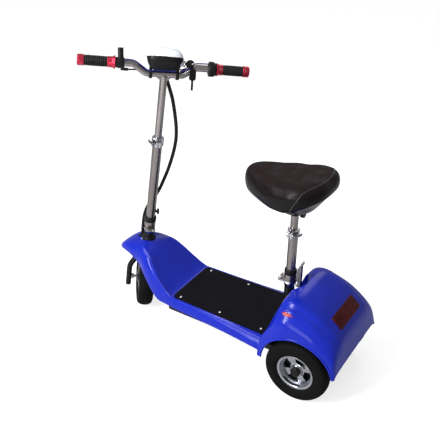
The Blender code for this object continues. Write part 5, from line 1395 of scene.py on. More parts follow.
@dataclass
class Tyre:
    """A small pneumatic tyre with a blocked tread."""

    radius: float = 0.1125
    half: float = 0.029
    bead: float = 0.060
    bead_half: float = 0.0205
    steps: int = 288
    pitch: int = 48
    depth: float = 0.0017
    groove: float = 0.26
    slant: float = 26.0

    def outline(self) -> list[Pair]:
        """The tyre's section from one bead over the tread to the other.

        Returns:
            Pairs of radius and height.
        """
        side = [
            (self.bead, self.bead_half), (0.0655, self.bead_half + 0.0001),
            (0.0665, self.bead_half + 0.0012), (0.0678, self.bead_half + 0.0016),
            (0.0690, self.bead_half + 0.0026), (0.0722, 0.0262), (0.0738, 0.0262), (0.0750, 0.0268),
            (0.0800, 0.0281), (0.0850, 0.0288), (0.0900, self.half), (0.0916, self.half),
            (0.0924, self.half - 0.0008), (0.0940, self.half - 0.0007), (0.0980, 0.0283), (0.1010, 0.0272),
            (0.1035, 0.0256), (0.1052, 0.0243), (0.1066, 0.0226), (0.1079, 0.0205), (0.1090, 0.0183),
            (0.1099, 0.0161), (0.1106, 0.0139), (0.1112, 0.0117), (0.1117, 0.0100),
        ]
        groove = self.radius - self.depth
        middle = [
            (0.11195, 0.0085), (groove, 0.0077), (groove, 0.0063), (0.1123, 0.0055), (0.1124, 0.0040),
            (self.radius, 0.0028), (self.radius, 0.0010),
        ]
        half = side + middle
        return [(r, -h) for r, h in half] + [(r, h) for r, h in reversed(half)]

    def build(self, name: str) -> Piece:
        """Turn the tyre about Z and press its tread blocks.

        Args:
            name: The piece's name.

        Returns:
            The tyre about the origin.
        """
        return reshaped(revolve(name, self.outline(), self.steps, loop=True), self.pressed)

    def pressed(self, reach: float, angle: float, height: float) -> float:
        """How far the grooves between the tread blocks draw a point in.

        Args:
            reach: The point's distance from the axle.
            angle: Its angle about the axle.
            height: Its place along the axle.

        Returns:
            The factor of its reach.
        """
        across = abs(height)
        side = 0.5 if height > 0 else 0.0
        turn = (angle / math.tau + 1.0) * self.pitch + side
        share = (turn + (across - 0.010) * self.slant) % 1.0
        if reach < 0.1040 or across < 0.0070 or share >= self.groove:
            return 1.0
        fade = min(1.0, (reach - 0.1035) / 0.003)
        return (reach - self.depth * fade) / reach


@dataclass
class RearWheel:
    """One rear wheel: tyre, windowed rim, a black disc of painted shade behind it, and hub cap."""

    shop: Workshop
    side: str
    windows: int = 4
    window_turn: float = 75.0
    window_spread: float = 54.0
    disc_in: float = 0.0205
    disc_out: float = 0.0562
    dish: float = 0.0265
    steps: int = 144
    barrel: Outline = ((0.0560, 0.0040), (0.0560, -0.0040))
    flange: Outline = (
        (0.0592, 0.0206), (0.0642, 0.0207), (0.0646, 0.0213), (0.0646, 0.0222), (0.0640, 0.0229),
        (0.0625, 0.0230), (0.0600, 0.0226), (0.0580, 0.0219), (0.0566, 0.0206), (0.0560, 0.0190),
    )
    hub_outline: Outline = (
        (0.0165, 0.0119), (0.0198, 0.0120), (0.0206, 0.0112), (0.0226, 0.0090), (0.0226, 0.0040),
        (0.0204, 0.0), (0.0172, -0.0186), (0.0160, -0.0200), (0.0106, -0.0200), (0.0106, -0.0022),
        (0.0163, -0.0022),
    )
    cup_outline: Outline = (
        (0.0147, 0.0124), (0.0162, 0.0123), (0.0165, 0.0127), (0.0165, 0.0196), (0.0161, 0.0212),
        (0.0150, 0.0226), (0.0134, 0.0234), (0.0105, 0.0238), (0.0100, 0.0232), (0.0070, 0.0231),
        (0.0064, 0.0238), (0.0, 0.0240),
    )
    # A black disc of painted shade behind the windows.
    shade_disc_outline: Outline = (
        (0.0212, -0.0125), (0.0548, -0.0125), (0.0552, -0.0120), (0.0548, -0.0111), (0.0300, -0.0100),
        (0.0212, -0.0096),
    )

    def place(self) -> Matrix:
        """The wheel's middle, with Z outwards along the axle.

        Returns:
            The place.
        """
        sign = 1 if self.side == "left" else -1
        _, y, z = PLACES.rear_axle
        return shifted(sign * PLACES.half_track, y, z) @ turned(90 * sign, "Y")

    def rim(self) -> Piece:
        """The barrel and its two rolled flanges."""
        other = [(r, -h) for r, h in reversed(self.flange)]
        return revolve("rim", [*self.flange, *self.barrel, *other], self.steps, loop=True)

    def hub(self) -> Piece:
        """The hub's barrel with its bearing seat."""
        return revolve("hub", self.hub_outline, self.steps, loop=True)

    def height(self, reach: float) -> float:
        """The dished disc's height at a radius.

        Args:
            reach: The radius.

        Returns:
            The height.
        """
        if reach < self.dish:
            return 0.0072 - (reach - self.disc_in) * 0.55
        share = (reach - self.dish) / (self.disc_out - self.dish)
        return 0.0039 - 0.0022 * share + 0.0022 * math.sin(math.pi * share) ** 2

    def disc(self) -> Piece:
        """The dished disc with four round-cornered windows.

        Returns:
            The disc about the origin.
        """
        rings = []
        for step in range(35):
            reach = self.disc_in + (self.disc_out - self.disc_in) * step / 34
            angles = [math.tau * turn / self.steps for turn in range(self.steps)]
            rings.append([(reach * math.cos(a), reach * math.sin(a), self.height(reach)) for a in angles])
        piece = walled(loft("disc", rings, caps=False), 0.0026, 0.0)
        tools = []
        for number in range(self.windows):
            middle = self.window_turn + 360.0 * number / self.windows
            corners = []
            for reach, spread in ((0.0500, self.window_spread), (0.0260, self.window_spread * 0.86)):
                ends = (-0.5, -0.25, 0.0, 0.25, 0.5) if reach > 0.03 else (0.5, 0.17, -0.17, -0.5)
                for share in ends:
                    angle = math.radians(middle + spread * share)
                    corners.append((reach * math.cos(angle), reach * math.sin(angle)))
            ring = self.softened(corners, 3)
            tools.append(loft("window", [[(x, y, z) for x, y in ring] for z in (-0.01, 0.012)]))
        return cut(piece, *tools)

    @staticmethod
    def softened(corners: Sequence[Pair], rounds: int) -> list[Pair]:
        """Cut a closed outline's corners again and again.

        Args:
            corners: The outline.
            rounds: How many times its corners are cut.

        Returns:
            The softened outline.
        """
        ring = list(corners)
        for _ in range(rounds):
            finer = []
            for here, there in zip(ring, ring[1:] + ring[:1]):
                finer.append((here[0] * 0.82 + there[0] * 0.18, here[1] * 0.82 + there[1] * 0.18))
                finer.append((here[0] * 0.18 + there[0] * 0.82, here[1] * 0.18 + there[1] * 0.82))
            ring = finer
        return ring

    def cap(self) -> Piece:
        """The black cup over the axle nut."""
        return revolve(f"hub_cup_{self.side}", self.cup_outline, 72)

    def shade_disc(self) -> Piece:
        """A black plate behind the disc: painted shade that darkens its windows."""
        return revolve(f"wheel_shade_disc_{self.side}", self.shade_disc_outline, 96, loop=True)

    def build(self) -> None:
        """Build the wheel on its own body."""
        mount, side, place = self.shop.mount, self.side, self.place()
        body = f"rear_wheel_{side}"
        tyre = placed(Tyre().build(f"tyre_{side}"), place)
        mount(tyre, Finishes.TYRE, body, [f"tyre_rear_{side}"], sharp=32)
        metal = placed(joined(f"wheel_rim_{side}", [self.rim(), self.hub(), self.disc()]), place)
        rounded(metal, 0.0003, 2, 45)
        mount(metal, Finishes.RIM, body, [f"rim_rear_{side}"], sharp=None)
        # The black plate is painted shade seen through the windows.
        mount(placed(self.shade_disc(), place), Finishes.BLACK_PLASTIC, body)
        cup = placed(self.cap(), place)
        mount(cup, Finishes.BLACK_PLASTIC, body, [f"hub_cap_rear_{side}"])
        self.shop.dress(f"bearing_rear_{side}", Finishes.STEEL, 0.0003)


@dataclass
class FrontWheel:
    """The front tyre on its black hub motor."""

    shop: Workshop
    bolts: int = 8
    bolt_ring: float = 0.0460
    bolt: Outline = ((0, 0.0), (0.0028, 0.0), (0.0028, 0.0016), (0.0022, 0.0022), (0, 0.0022))
    half_case: Outline = (
        (0.0592, 0.0208), (0.0642, 0.0209), (0.0645, 0.0214), (0.0645, 0.0222), (0.0638, 0.0229),
        (0.0620, 0.0229), (0.0585, 0.0224), (0.0552, 0.0218), (0.0530, 0.0220), (0.0500, 0.0238),
        (0.0485, 0.0241), (0.0478, 0.0236), (0.0440, 0.0238), (0.0432, 0.0246), (0.0330, 0.0256),
        (0.0322, 0.0250), (0.0290, 0.0252), (0.0284, 0.0260), (0.0222, 0.0270), (0.0172, 0.0306),
        (0.0160, 0.0310), (0.0110, 0.0310), (0.0100, 0.0305), (0.0060, 0.0305),
    )

    def motor(self) -> Piece:
        """The motor's case with its rim flanges and cover rings."""
        outline = [(r, h) for r, h in reversed(self.half_case)] + [(r, -h) for r, h in self.half_case]
        return revolve("motor_case", outline, 144, loop=True)

    def build(self) -> None:
        """Build the wheel on its own body."""
        place = PLACES.column() @ turned(90, "Y")
        tyre = placed(Tyre().build("tyre_front_wheel"), place)
        self.shop.mount(tyre, Finishes.TYRE, "front_wheel", ["tyre_front"], sharp=32)
        case = placed(self.motor(), place)
        self.shop.mount(case, Finishes.BLACK_PAINT, "front_wheel", ["hub_motor"], sharp=35)
        heads = []
        for flip in (0, 180):
            for number in range(self.bolts):
                around = turned(flip, "X") @ turned(360.0 * (number + 0.5) / self.bolts, "Z")
                head = revolve("bolt", self.bolt, 18)
                heads.append(placed(head, around @ shifted(x=self.bolt_ring, z=0.0236)))
        bolts = placed(joined("motor_cover_bolts", heads), place)
        self.shop.mount(bolts, Finishes.STEEL, "front_wheel", sharp=30)


# Columns, joints and clamps


@dataclass
class Column:
    """The fork, the folding steering column and its fittings."""

    shop: Workshop

    def boot(self) -> Piece:
        """The tapered collar round the steerer.

        Returns:
            The collar, in its place.
        """
        low = PLACES.head_top + 0.0006
        outline = [
            (0.0133, low), (0.0240, low), (0.0245, low + 0.0006), (0.0245, low + 0.0090),
            (0.0240, low + 0.0104), (0.0212, low + 0.0150), (0.0205, low + 0.0168), (0.0205, low + 0.0300),
            (0.0200, low + 0.0318), (0.0186, low + 0.0330), (0.0133, low + 0.0330),
        ]
        return placed(revolve("steerer_boot", outline, 72, loop=True), PLACES.column())

    @staticmethod
    def sleeve(name: str, tube: float, low: float, place: Matrix) -> Piece:
        """The black sleeve over the weld above a folding joint.

        Args:
            name: The piece's name.
            tube: The tube's radius.
            low: The sleeve's lower end above the joint.
            place: The joint's place.

        Returns:
            The sleeve.
        """
        outer = tube + 0.0044
        outline = [
            (tube + 0.0041, low - 0.0006), (outer, low - 0.0004), (outer + 0.0004, low + 0.0006),
            (outer + 0.0004, low + 0.0150), (outer, low + 0.0166), (tube + 0.0026, low + 0.0193),
            (tube + 0.0012, low + 0.0197), (tube + 0.0002, low + 0.0197), (tube + 0.0002, low + 0.0192),
            (tube + 0.0021, low + 0.0188), (tube + 0.0041, low + 0.0162),
        ]
        return placed(revolve(name, outline, 72, loop=True), place)

    @staticmethod
    def knob() -> Piece:
        """The scalloped lock knob in the side of the lower tube.

        Returns:
            The knob, in its place.
        """
        outline = [
            (0, 0.0), (0.0045, 0.0), (0.0045, 0.0034), (0.0096, 0.0042), (0.0108, 0.0052), (0.0110, 0.0090),
            (0.0107, 0.0104), (0.0094, 0.0118), (0.0060, 0.0119), (0.0055, 0.0112), (0, 0.0112),
        ]
        piece = revolve("lock_knob", outline, 96)
        reshaped(piece, partial(fluted, 0.0092, 12, 0.06, 2))
        height = PLACES.stem_joint + 0.0265 + 0.019 + 0.020
        return placed(piece, PLACES.column() @ shifted(x=-0.0173, z=height) @ turned(-90, "Y"))

    def build(self) -> None:
        """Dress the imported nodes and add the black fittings."""
        shop = self.shop
        shop.dress_all(Finishes.BLACK_PAINT, 0.0008, "fork", "frame")
        bearings = ("headset_lower", "headset_upper")
        shop.dress_all(Finishes.STEEL, 0.0003, *bearings, "motor_axle", "stem_fold_pin", "rear_axle")
        shop.dress_all(Finishes.CHROME, 0.0005, "stem_fold_base", "stem_clamp")
        shop.dress_all(Finishes.DARK_CHROME, 0.0005, "stem_fold_lever", "stem_clamp_lever")
        shop.dress("stem_lower_tube", Finishes.SATIN, 0.0005)
        shop.mount(self.boot(), Finishes.BLACK_PLASTIC, "fork", ["column_boot"])
        sleeve = self.sleeve("stem_sleeve", 0.0170, 0.0255, PLACES.column() @ shifted(z=PLACES.stem_joint))
        shop.mount(sleeve, Finishes.BLACK_PLASTIC, "stem")
        shop.mount(self.knob(), Finishes.BLACK_PLASTIC, "stem_knob", ["stem_knob"])


@dataclass
class SeatPost:
    """The folding seat post with its clamp."""

    shop: Workshop
    lever_half_width: float = 0.0068
    flange: float = 0.0014
    flange_side: Outline = (
        (0.2700, 0.3350), (0.2625, 0.3385), (0.2595, 0.3560), (0.2610, 0.3860),
        (0.2680, 0.4010), (0.2758, 0.4030), (0.2735, 0.3800),
    )

    def channel(self) -> Piece:
        """The two flanges that make the folding joint's lever a channel.

        Returns:
            Both flanges as one piece.
        """
        plates = []
        for sign in (-1, 1):
            outer = sign * self.lever_half_width
            inner = sign * (self.lever_half_width - self.flange)
            faces = [[(x, y, z) for y, z in self.flange_side] for x in (inner, outer)]
            plates.append(loft("flange", faces))
        return joined("seat_lever_channel", plates)

    def build(self) -> None:
        """Dress the post's nodes, and add its sleeve and its lever's flanges."""
        shop = self.shop
        shop.dress_all(Finishes.CHROME, 0.0005, "seat_fold_base", "seat_clamp")
        shop.dress_all(Finishes.DARK_CHROME, 0.0005, "seat_fold_lever", "seat_clamp_lever")
        shop.dress("seat_fold_pin", Finishes.STEEL, 0.0003)
        shop.dress("seat_lower_tube", Finishes.SATIN, 0.0005)
        shop.dress("seat_upper_tube", Finishes.SATIN, 0.0003)
        sleeve = Column.sleeve("seat_sleeve", 0.0159, 0.0255, PLACES.seat())
        shop.mount(sleeve, Finishes.BLACK_PLASTIC, "seat_post")
        channel = self.channel()
        rounded(channel, 0.0004, 2, 30)
        shop.mount(channel, Finishes.DARK_CHROME, "seat_latch", sharp=35)


# Handlebar group


@dataclass
class Grip:
    """One grip with its two red rings."""

    shop: Workshop
    side: str
    start: float
    ring_end: float
    body: str
    node: str
    cap_in: float = 0.2560
    cap_out: float = 0.2775
    ribs: int = 11

    def place(self) -> Matrix:
        """The grip's line, with Z outwards from its start."""
        sign = 1 if self.side == "left" else -1
        return PLACES.bar() @ shifted(x=sign * self.start, z=PLACES.bar_rise) @ turned(90 * sign, "Y")

    def rubber(self) -> Piece:
        """The ribbed rubber sleeve between the rings.

        Returns:
            The sleeve about the origin.
        """
        low = self.ring_end - self.start
        high = self.cap_in - self.start
        outline = [(0.0119, low + 0.0002), (0.0158, low + 0.0002), (0.0164, low + 0.0010)]
        count = self.ribs * 8
        for step in range(1, count):
            share = step / count
            ripple = 0.0007 * math.cos(share * self.ribs * math.tau)
            belly = 0.0004 * math.sin(math.pi * share)
            outline.append((0.0163 + ripple + belly, low + 0.001 + (high - low - 0.002) * share))
        outline += [(0.0164, high - 0.0010), (0.0158, high - 0.0002), (0.0119, high - 0.0002)]
        piece = revolve(f"grip_rubber_{self.side}", outline, 64, loop=True)
        return reshaped(piece, partial(fluted, 0.0150, 3, 0.030, 6))

    def fittings(self) -> dict[str, list[Pair]]:
        """The flared lock ring next to the perch, the ring at the bar's end and its plug.

        Returns:
            The outline of each, by its name.
        """
        end = self.ring_end - self.start
        low, high = self.cap_in - self.start, self.cap_out - self.start
        inner = [
            (0.0119, 0.0004), (0.0208, 0.0004), (0.0215, 0.0010), (0.0215, 0.0034), (0.0208, 0.0044),
            (0.0182, 0.0080), (0.0176, 0.0092), (0.0175, end - 0.0012), (0.0171, end - 0.0002),
            (0.0119, end - 0.0002),
        ]
        outer = [
            (0.0119, low), (0.0172, low), (0.0179, low + 0.0008), (0.0180, high - 0.0034),
            (0.0174, high - 0.0016), (0.0158, high - 0.0010), (0.0119, high - 0.0010),
        ]
        plug = [
            (0, high - 0.0032), (0.0117, high - 0.0032), (0.0150, high - 0.0009),
            (0.0147, high - 0.0002), (0.0120, high), (0, high),
        ]
        return {"ring_inner": inner, "ring_outer": outer, "plug": plug}

    def bolts(self) -> Piece:
        """The small bolts in the two rings.

        Returns:
            All the bolts as one piece.
        """
        outline = [
            (0, 0.0), (0.0021, 0.0), (0.0021, 0.0012), (0.0017, 0.0015),
            (0.0010, 0.0015), (0.0009, 0.0006), (0, 0.0006),
        ]
        inner = (self.ring_end - self.start - 0.0060, 0.0172)
        outer = (self.cap_in - self.start + 0.0080, 0.0177)
        heads = []
        for height, reach in (inner, outer):
            for angle in (60, 240):
                place = shifted(z=height) @ turned(angle, "Z") @ shifted(x=reach - 0.0004) @ turned(90, "Y")
                heads.append(placed(revolve("bolt", outline, 18), place))
        return joined(f"grip_bolts_{self.side}", heads)

    def build(self) -> None:
        """Build the grip on its body."""
        outlines = self.fittings()
        pieces = [(self.rubber(), Finishes.RUBBER, [self.node])]
        for name in ("ring_inner", "ring_outer"):
            ring = revolve(f"grip_{name}_{self.side}", outlines[name], 72, loop=True)
            pieces.append((ring, Finishes.RED_METAL, []))
        plug = revolve(f"grip_plug_{self.side}", outlines["plug"], 48)
        pieces += [(plug, Finishes.BLACK_PLASTIC, []), (self.bolts(), Finishes.STEEL, [])]
        for piece, finish, nodes in pieces:
            self.shop.mount(placed(piece, self.place()), finish, self.body, nodes)


@dataclass
class Cockpit:
    """The handlebar with its display unit, keys, lever and throttle."""

    shop: Workshop
    half_x: float = 0.059
    half_y: float = 0.0375
    front: float = -0.008
    low: float = 0.0551
    height: float = 0.0265
    housing_start: float = 0.1420
    collar_start: float = 0.1512
    under: Route = (
        (0.037, 0.004, 0.0160), (0.015, 0.0065, 0.0155), (-0.015, 0.0045, 0.0158), (-0.037, 0.006, 0.0158),
    )
    beside: Route = (
        (-0.050, 0.006, 0.0155), (-0.062, 0.0055, 0.0190), (-0.078, 0.005, 0.0265), (-0.092, 0.004, 0.0345),
    )

    def dome(self, name: str, upper: bool) -> Piece:
        """One part of the display unit's domed top.

        Args:
            name: The piece's name.
            upper: True for the white part above the split, False for the black
                part that faces the rider.

        Returns:
            The part, in its place.
        """
        sections = []
        for step in range(13):
            angle = math.pi / 2 * step / 13
            rise = math.sin(angle) ** 1.15 * self.height
            sections.append(self.ring(math.cos(angle) ** 0.62, self.low + 0.0003 + rise))
        sections.append(self.ring(0.30, self.low + self.height))
        sections.append(self.ring(0.08, self.low + self.height + 0.0001))
        piece = loft(name, sections)
        work = bmesh.new()
        work.from_mesh(piece.data)
        everything = [*work.verts, *work.edges, *work.faces]
        bmesh.ops.bisect_plane(
            work, geom=everything, plane_co=(0, self.front, self.low), plane_no=(0, -0.5, 1.0),
            clear_inner=upper, clear_outer=not upper,
        )
        work.to_mesh(piece.data)
        work.free()
        return placed(piece, PLACES.bar())

    def ring(self, share: float, height: float) -> list[Point]:
        """One level of the lid's rounded outline.

        Args:
            share: The outline's size, as a share of its greatest.
            height: The level's height.

        Returns:
            The outline's points.
        """
        points = []
        for step in range(64):
            angle = math.tau * step / 64
            x = math.copysign(abs(math.cos(angle)) ** 0.72, math.cos(angle))
            y = math.copysign(abs(math.sin(angle)) ** 0.72, math.sin(angle))
            x *= self.half_x * (0.12 + 0.88 * share)
            points.append((x, self.front + y * self.half_y * share, height))
        return points

    def housing(self) -> Piece:
        """The stepped throttle housing with its seam.

        Returns:
            The housing, in its place.
        """
        outline = [
            (0.0116, 0.0), (0.0205, 0.0), (0.0232, 0.0012), (0.0243, 0.0030), (0.0245, 0.0050),
            (0.0245, 0.0092), (0.0240, 0.0096), (0.0240, 0.0102), (0.0245, 0.0106), (0.0245, 0.0155),
            (0.0238, 0.0172), (0.0205, 0.0230), (0.0196, 0.0246), (0.0190, 0.0252), (0.0116, 0.0252),
        ]
        piece = revolve("throttle_case", outline, 72, loop=True)
        place = PLACES.bar() @ shifted(x=-self.housing_start, z=PLACES.bar_rise) @ turned(-90, "Y")
        return placed(piece, place)

    def weld(self) -> Piece:
        """The weld bead between the bar and its post.

        Returns:
            The bead, in its place.
        """
        line = []
        for step in range(48):
            angle = math.tau * step / 48
            x, y = 0.0129 * math.cos(angle), 0.0129 * math.sin(angle)
            depth = -math.sqrt(max(0.0, 0.0111**2 - min(abs(y), 0.0110) ** 2))
            line.append((x, y, depth - 0.0004 + 0.0002 * math.sin(angle * 24)))
        return placed(tube("bar_weld", line, 0.0014, 10, loop=True), PLACES.bar())

    @staticmethod
    def wrapped(radius: float, share: float, angle: float) -> float:
        """The radius of a spiral wrap at a share of its route."""
        return radius * (1.0 + 0.07 * math.sin(angle + share * 90))

    def bundle(self, name: str, route: Sequence[Point], radius: float) -> Piece:
        """A spiral-wrapped bundle of wires on the bar."""
        return placed(tube(name, curve(route, 120), partial(self.wrapped, radius), 16), PLACES.bar())

    def collar(self) -> Piece:
        """The ring that clamps the brake perch on the bar.

        Returns:
            The ring, in its place.
        """
        outline = [
            (0.0116, 0.0003), (0.0160, 0.0003), (0.0168, 0.0011),
            (0.0168, 0.0050), (0.0160, 0.0059), (0.0116, 0.0059),
        ]
        place = PLACES.bar() @ shifted(x=self.collar_start, z=PLACES.bar_rise) @ turned(90, "Y")
        return placed(revolve("perch_collar", outline, 64, loop=True), place)

    def build(self) -> None:
        """Dress the bar's nodes and build its fittings."""
        shop, mount = self.shop, self.shop.mount
        shop.dress("handlebar", Finishes.BAR, 0.0003, 50)
        shop.dress("display_base", Finishes.BLACK_PLASTIC, 0.0010)
        shop.dress("headlight_lens", Finishes.CLEAR, 0.0006)
        shop.dress("key_switch", Finishes.CHROME, 0.0004)
        shop.dress("ignition_key", Finishes.BLACK_PLASTIC, 0.0006)
        shop.dress("spare_key", Finishes.BLACK_PLASTIC, 0.0004)
        shop.dress("brake_perch", Finishes.BLACK_PLASTIC, 0.0008)
        shop.dress("brake_lever", Finishes.BLACK_PAINT, 0.0008)
        shop.dress("brake_cable", Finishes.CABLE, 0.0002, 60)
        shop.dress("brake_switch_wire", Finishes.WIRE, 0.0002, 60)
        shop.dress("throttle_wire", Finishes.WIRE, 0.0002, 60)
        mount(self.dome("display_lid", True), Finishes.WHITE, "bar", ["display_cover"])
        mount(self.dome("display_face", False), Finishes.BLACK_PLASTIC, "bar")
        mount(self.bundle("wire_bundle_middle", self.under, 0.0036), Finishes.WIRE, "bar", sharp=60)
        mount(self.bundle("wire_bundle_right", self.beside, 0.0030), Finishes.WIRE, "bar", sharp=60)
        mount(self.collar(), Finishes.BLACK_PLASTIC, "bar")
        mount(self.housing(), Finishes.BLACK_PLASTIC, "bar", ["throttle_housing"], sharp=35)
        mount(self.weld(), Finishes.SATIN, "bar", sharp=60)
        Grip(shop, "left", 0.1575, 0.1830, "bar", "grip_left").build()
        Grip(shop, "right", 0.1675, 0.1885, "throttle_grip", "throttle_grip").build()


@dataclass
class Looms:
    """The wiring beside the column, in three stretches.

    The upper and middle routes are in the column's frame, with heights from the
    bar's middle. The nose's points lie behind the head tube's top and the
    floor's behind the ramp's foot, with heights over the front axle.
    """

    shop: Workshop
    radius: float = 0.0065
    ramp_foot: float = -0.1746
    entry: Pair = (0.0225, -0.0280)
    upper: Route = (
        (-0.0010, -0.0240, 0.0198), (-0.0030, -0.0245, 0.006), (-0.0090, -0.0255, -0.016),
        (-0.026, -0.024, -0.060), (-0.041, -0.021, -0.104), (-0.058, -0.020, -0.180),
        (-0.0645, -0.020, -0.235), (-0.0620, -0.021, -0.290), (-0.0510, -0.023, -0.360),
        (-0.0370, -0.026, -0.418),
    )
    middle: Route = (
        (-0.0370, -0.026, -0.418), (-0.0250, -0.029, -0.460), (-0.0040, -0.0305, -0.508),
        (0.0130, -0.0305, -0.540), (0.0205, -0.0290, -0.572), (0.0225, -0.0280, -0.603),
    )
    nose: Route = (
        (0.009, -0.040, 0.1635), (0.033, -0.030, 0.1570), (0.043, -0.004, 0.1530), (0.044, 0.026, 0.1460),
        (0.042, 0.060, 0.1260), (0.039, 0.094, 0.0980), (0.037, 0.139, 0.0560),
    )
    floor: Route = (
        (0.034, -0.0160, 0.0190), (0.029, -0.0050, 0.0075), (0.0230, 0.0270, 0.0005),
        (0.0200, 0.0591, 0.0005),
    )

    def ribbed(self, rings: int, share: float, _: float) -> float:
        """The conduit's radius at a share of its length, with so many rings."""
        return self.radius - 0.00035 + 0.0003 * math.sin(share * rings * math.tau)

    def lowest(self, start: Vector) -> list[Vector]:
        """The lower stretch's route, down through the moulding to the deck.

        Args:
            start: Where the middle stretch ends.

        Returns:
            The route in the vehicle's frame.
        """
        top = PLACES.head_top
        head = (PLACES.lean() @ Vector((0, 0, top))).y
        axle = PLACES.front_axle[2]
        straight = [PLACES.column() @ Vector((*self.entry, top + up)) for up in (0.030, 0.009)]
        nose = [Vector((x, head + y, axle + z)) for x, y, z in self.nose]
        floor = [Vector((x, self.ramp_foot + y, axle + z)) for x, y, z in self.floor]
        return [start, *straight, *nose, *floor]

    def stretch(
        self,
        node: str,
        route: Sequence[Vector],
        turns: tuple[int, int],
        bodies: tuple[str, str],
    ) -> None:
        """Build one stretch in place of its imported loom.

        Args:
            node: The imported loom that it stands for.
            route: Its centre line.
            turns: How many steps and rings it has.
            bodies: The bodies before and after the joint.
        """
        steps, rings = turns
        piece = tube(f"{node}_conduit", curve(route, steps), partial(self.ribbed, rings), 20)
        piece.data.materials.append(Finishes.CABLE.build())
        smooth(piece, 70)
        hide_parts(node)
        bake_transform(piece)
        LOG.info("piece %s bends from %s to %s", piece.name, *bodies)

    def build(self) -> None:
        """Build the three stretches of wiring."""
        column, bar = PLACES.column(), PLACES.bar_middle
        upper = [column @ Vector((x, y, bar + z)) for x, y, z in self.upper]
        middle = [column @ Vector((x, y, bar + z)) for x, y, z in self.middle]
        lower = self.lowest(middle[-1])
        self.stretch("loom_upper", upper, (220, 80), ("stem", "bar"))
        self.stretch("loom_middle", middle, (120, 34), ("fork", "stem"))
        self.stretch("loom_lower", lower, (260, 90), ("chassis", "fork"))


# Saddle


